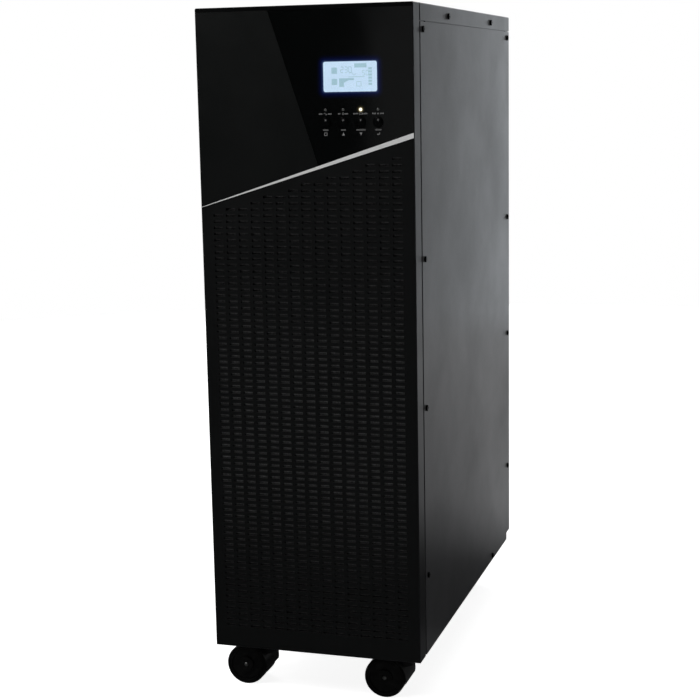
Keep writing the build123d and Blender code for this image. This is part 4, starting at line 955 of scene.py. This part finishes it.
def blade_point(side, hub, tip, out, chord, blade, offset):
    """A point of a blade: out is 0 at the hub and 1 at the tip, chord is -0.5 to 0.5, and offset is
    half the thickness, to one side or the other."""
    x, (low, high) = FANS[side]
    depth = high.y - low.y
    radius = hub + (tip - hub) * out
    width = math.radians(BLADE_CHORD[0] + BLADE_CHORD[1] * out)
    turn = FULL_TURN * blade / BLADES + math.radians(BLADE_SWEEP) * out + chord * width
    rise = (depth - 3 * MM) * (chord + BLADE_CAMBER * (0.25 - chord * chord)) + depth / 2
    place = Vector((x, low.y + rise + offset * BLADE_LEAN[1], FAN_Z))
    return place + around(radius, turn + offset / radius * BLADE_LEAN[0])


def add_blade(mesh, side, hub, tip, blade):
    """A swept, cambered blade that is thickest in the middle of its chord."""
    across, along = BLADE_GRID
    grid = {}
    for i in range(across + 1):
        for k in range(along + 1):
            chord = k / along - 0.5
            thick = 0.7 * MM * (1 - (2 * chord) ** 4) + 0.15 * MM
            for face, offset in ((0, -thick), (1, thick)):
                point = blade_point(side, hub, tip, i / across, chord, blade, offset)
                grid[face, i, k] = mesh.verts.new(point)
    for i in range(across):
        for k in range(along):
            for face in (0, 1):
                corners = ((i, k), (i + 1, k), (i + 1, k + 1), (i, k + 1))
                mesh.faces.new([grid[face, a, b] for a, b in corners])
    rim = [(i, 0) for i in range(across)] + [(across, k) for k in range(along)]
    rim += [(i, along) for i in range(across, 0, -1)] + [(0, k) for k in range(along, 0, -1)]
    for near, far in zip(rim, rim[1:] + rim[:1]):
        mesh.faces.new((grid[0, *near], grid[0, *far], grid[1, *far], grid[1, *near]))


def fan_rotor(side):
    """Hub and blades, in place of the plain rotor."""
    x, (low, high) = FANS[side]
    depth = high.y - low.y
    hub, tip = 15.5 * MM, (high.z - low.z) / 2 - 0.3 * MM
    edge, hollow, floor = 1.5 * MM, 11 * MM, depth - 0.4 * MM
    bore, bore_depth = ROTOR_BORE
    profile = [(0, bore_depth), (bore, bore_depth), (bore, 0)]
    profile += [(hub - 1 * MM, 0), (hub, 1 * MM), (hub, depth - edge)]
    for turn in (0.5, 1.0, math.pi / 2):
        profile.append((hub - edge + edge * math.cos(turn), depth - edge + edge * math.sin(turn)))
    profile += [(hollow, depth), (hollow - 0.4 * MM, floor), (0, floor)]
    mesh = bmesh.new()
    add_lathe(mesh, profile, (x, low.y, FAN_Z), 64)
    for blade in range(BLADES):
        add_blade(mesh, side, hub - 0.5 * MM, tip, blade)
    rotor = make_piece(mesh, f"{side}_fan_blades", LOOKS["black_part"], f"{side}_fan", 40)
    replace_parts(rotor, f"{side}_fan_rotor")


for side in FANS:
    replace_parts(fan_guard(side), "fan_guards")
    fan_rotor(side)

# ---------------------------------------------------------------- casters


def axle_caps(corner):
    """Domed steel caps on the two ends of a caster's axle."""
    low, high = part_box(f"{corner}_caster_wheels")
    middle = (low + high) / 2
    radius, rise, rim, sunk = 2.3 * MM, 0.9 * MM, 2.8 * MM, 0.6 * MM
    mesh = bmesh.new()
    for face, out in ((low.y, -1), (high.y, 1)):
        foot = [(rim, 0), (rim, -out * sunk), (0, -out * sunk)]
        add_lathe(mesh, dome(radius, out * rise) + foot, (middle.x, face, middle.z), 32)
    make_piece(mesh, f"{corner}_axle_caps", LOOKS["zinc_steel"], f"{corner}_wheels")


for corner in ("front_left", "front_right", "rear_left", "rear_right"):
    axle_caps(corner)
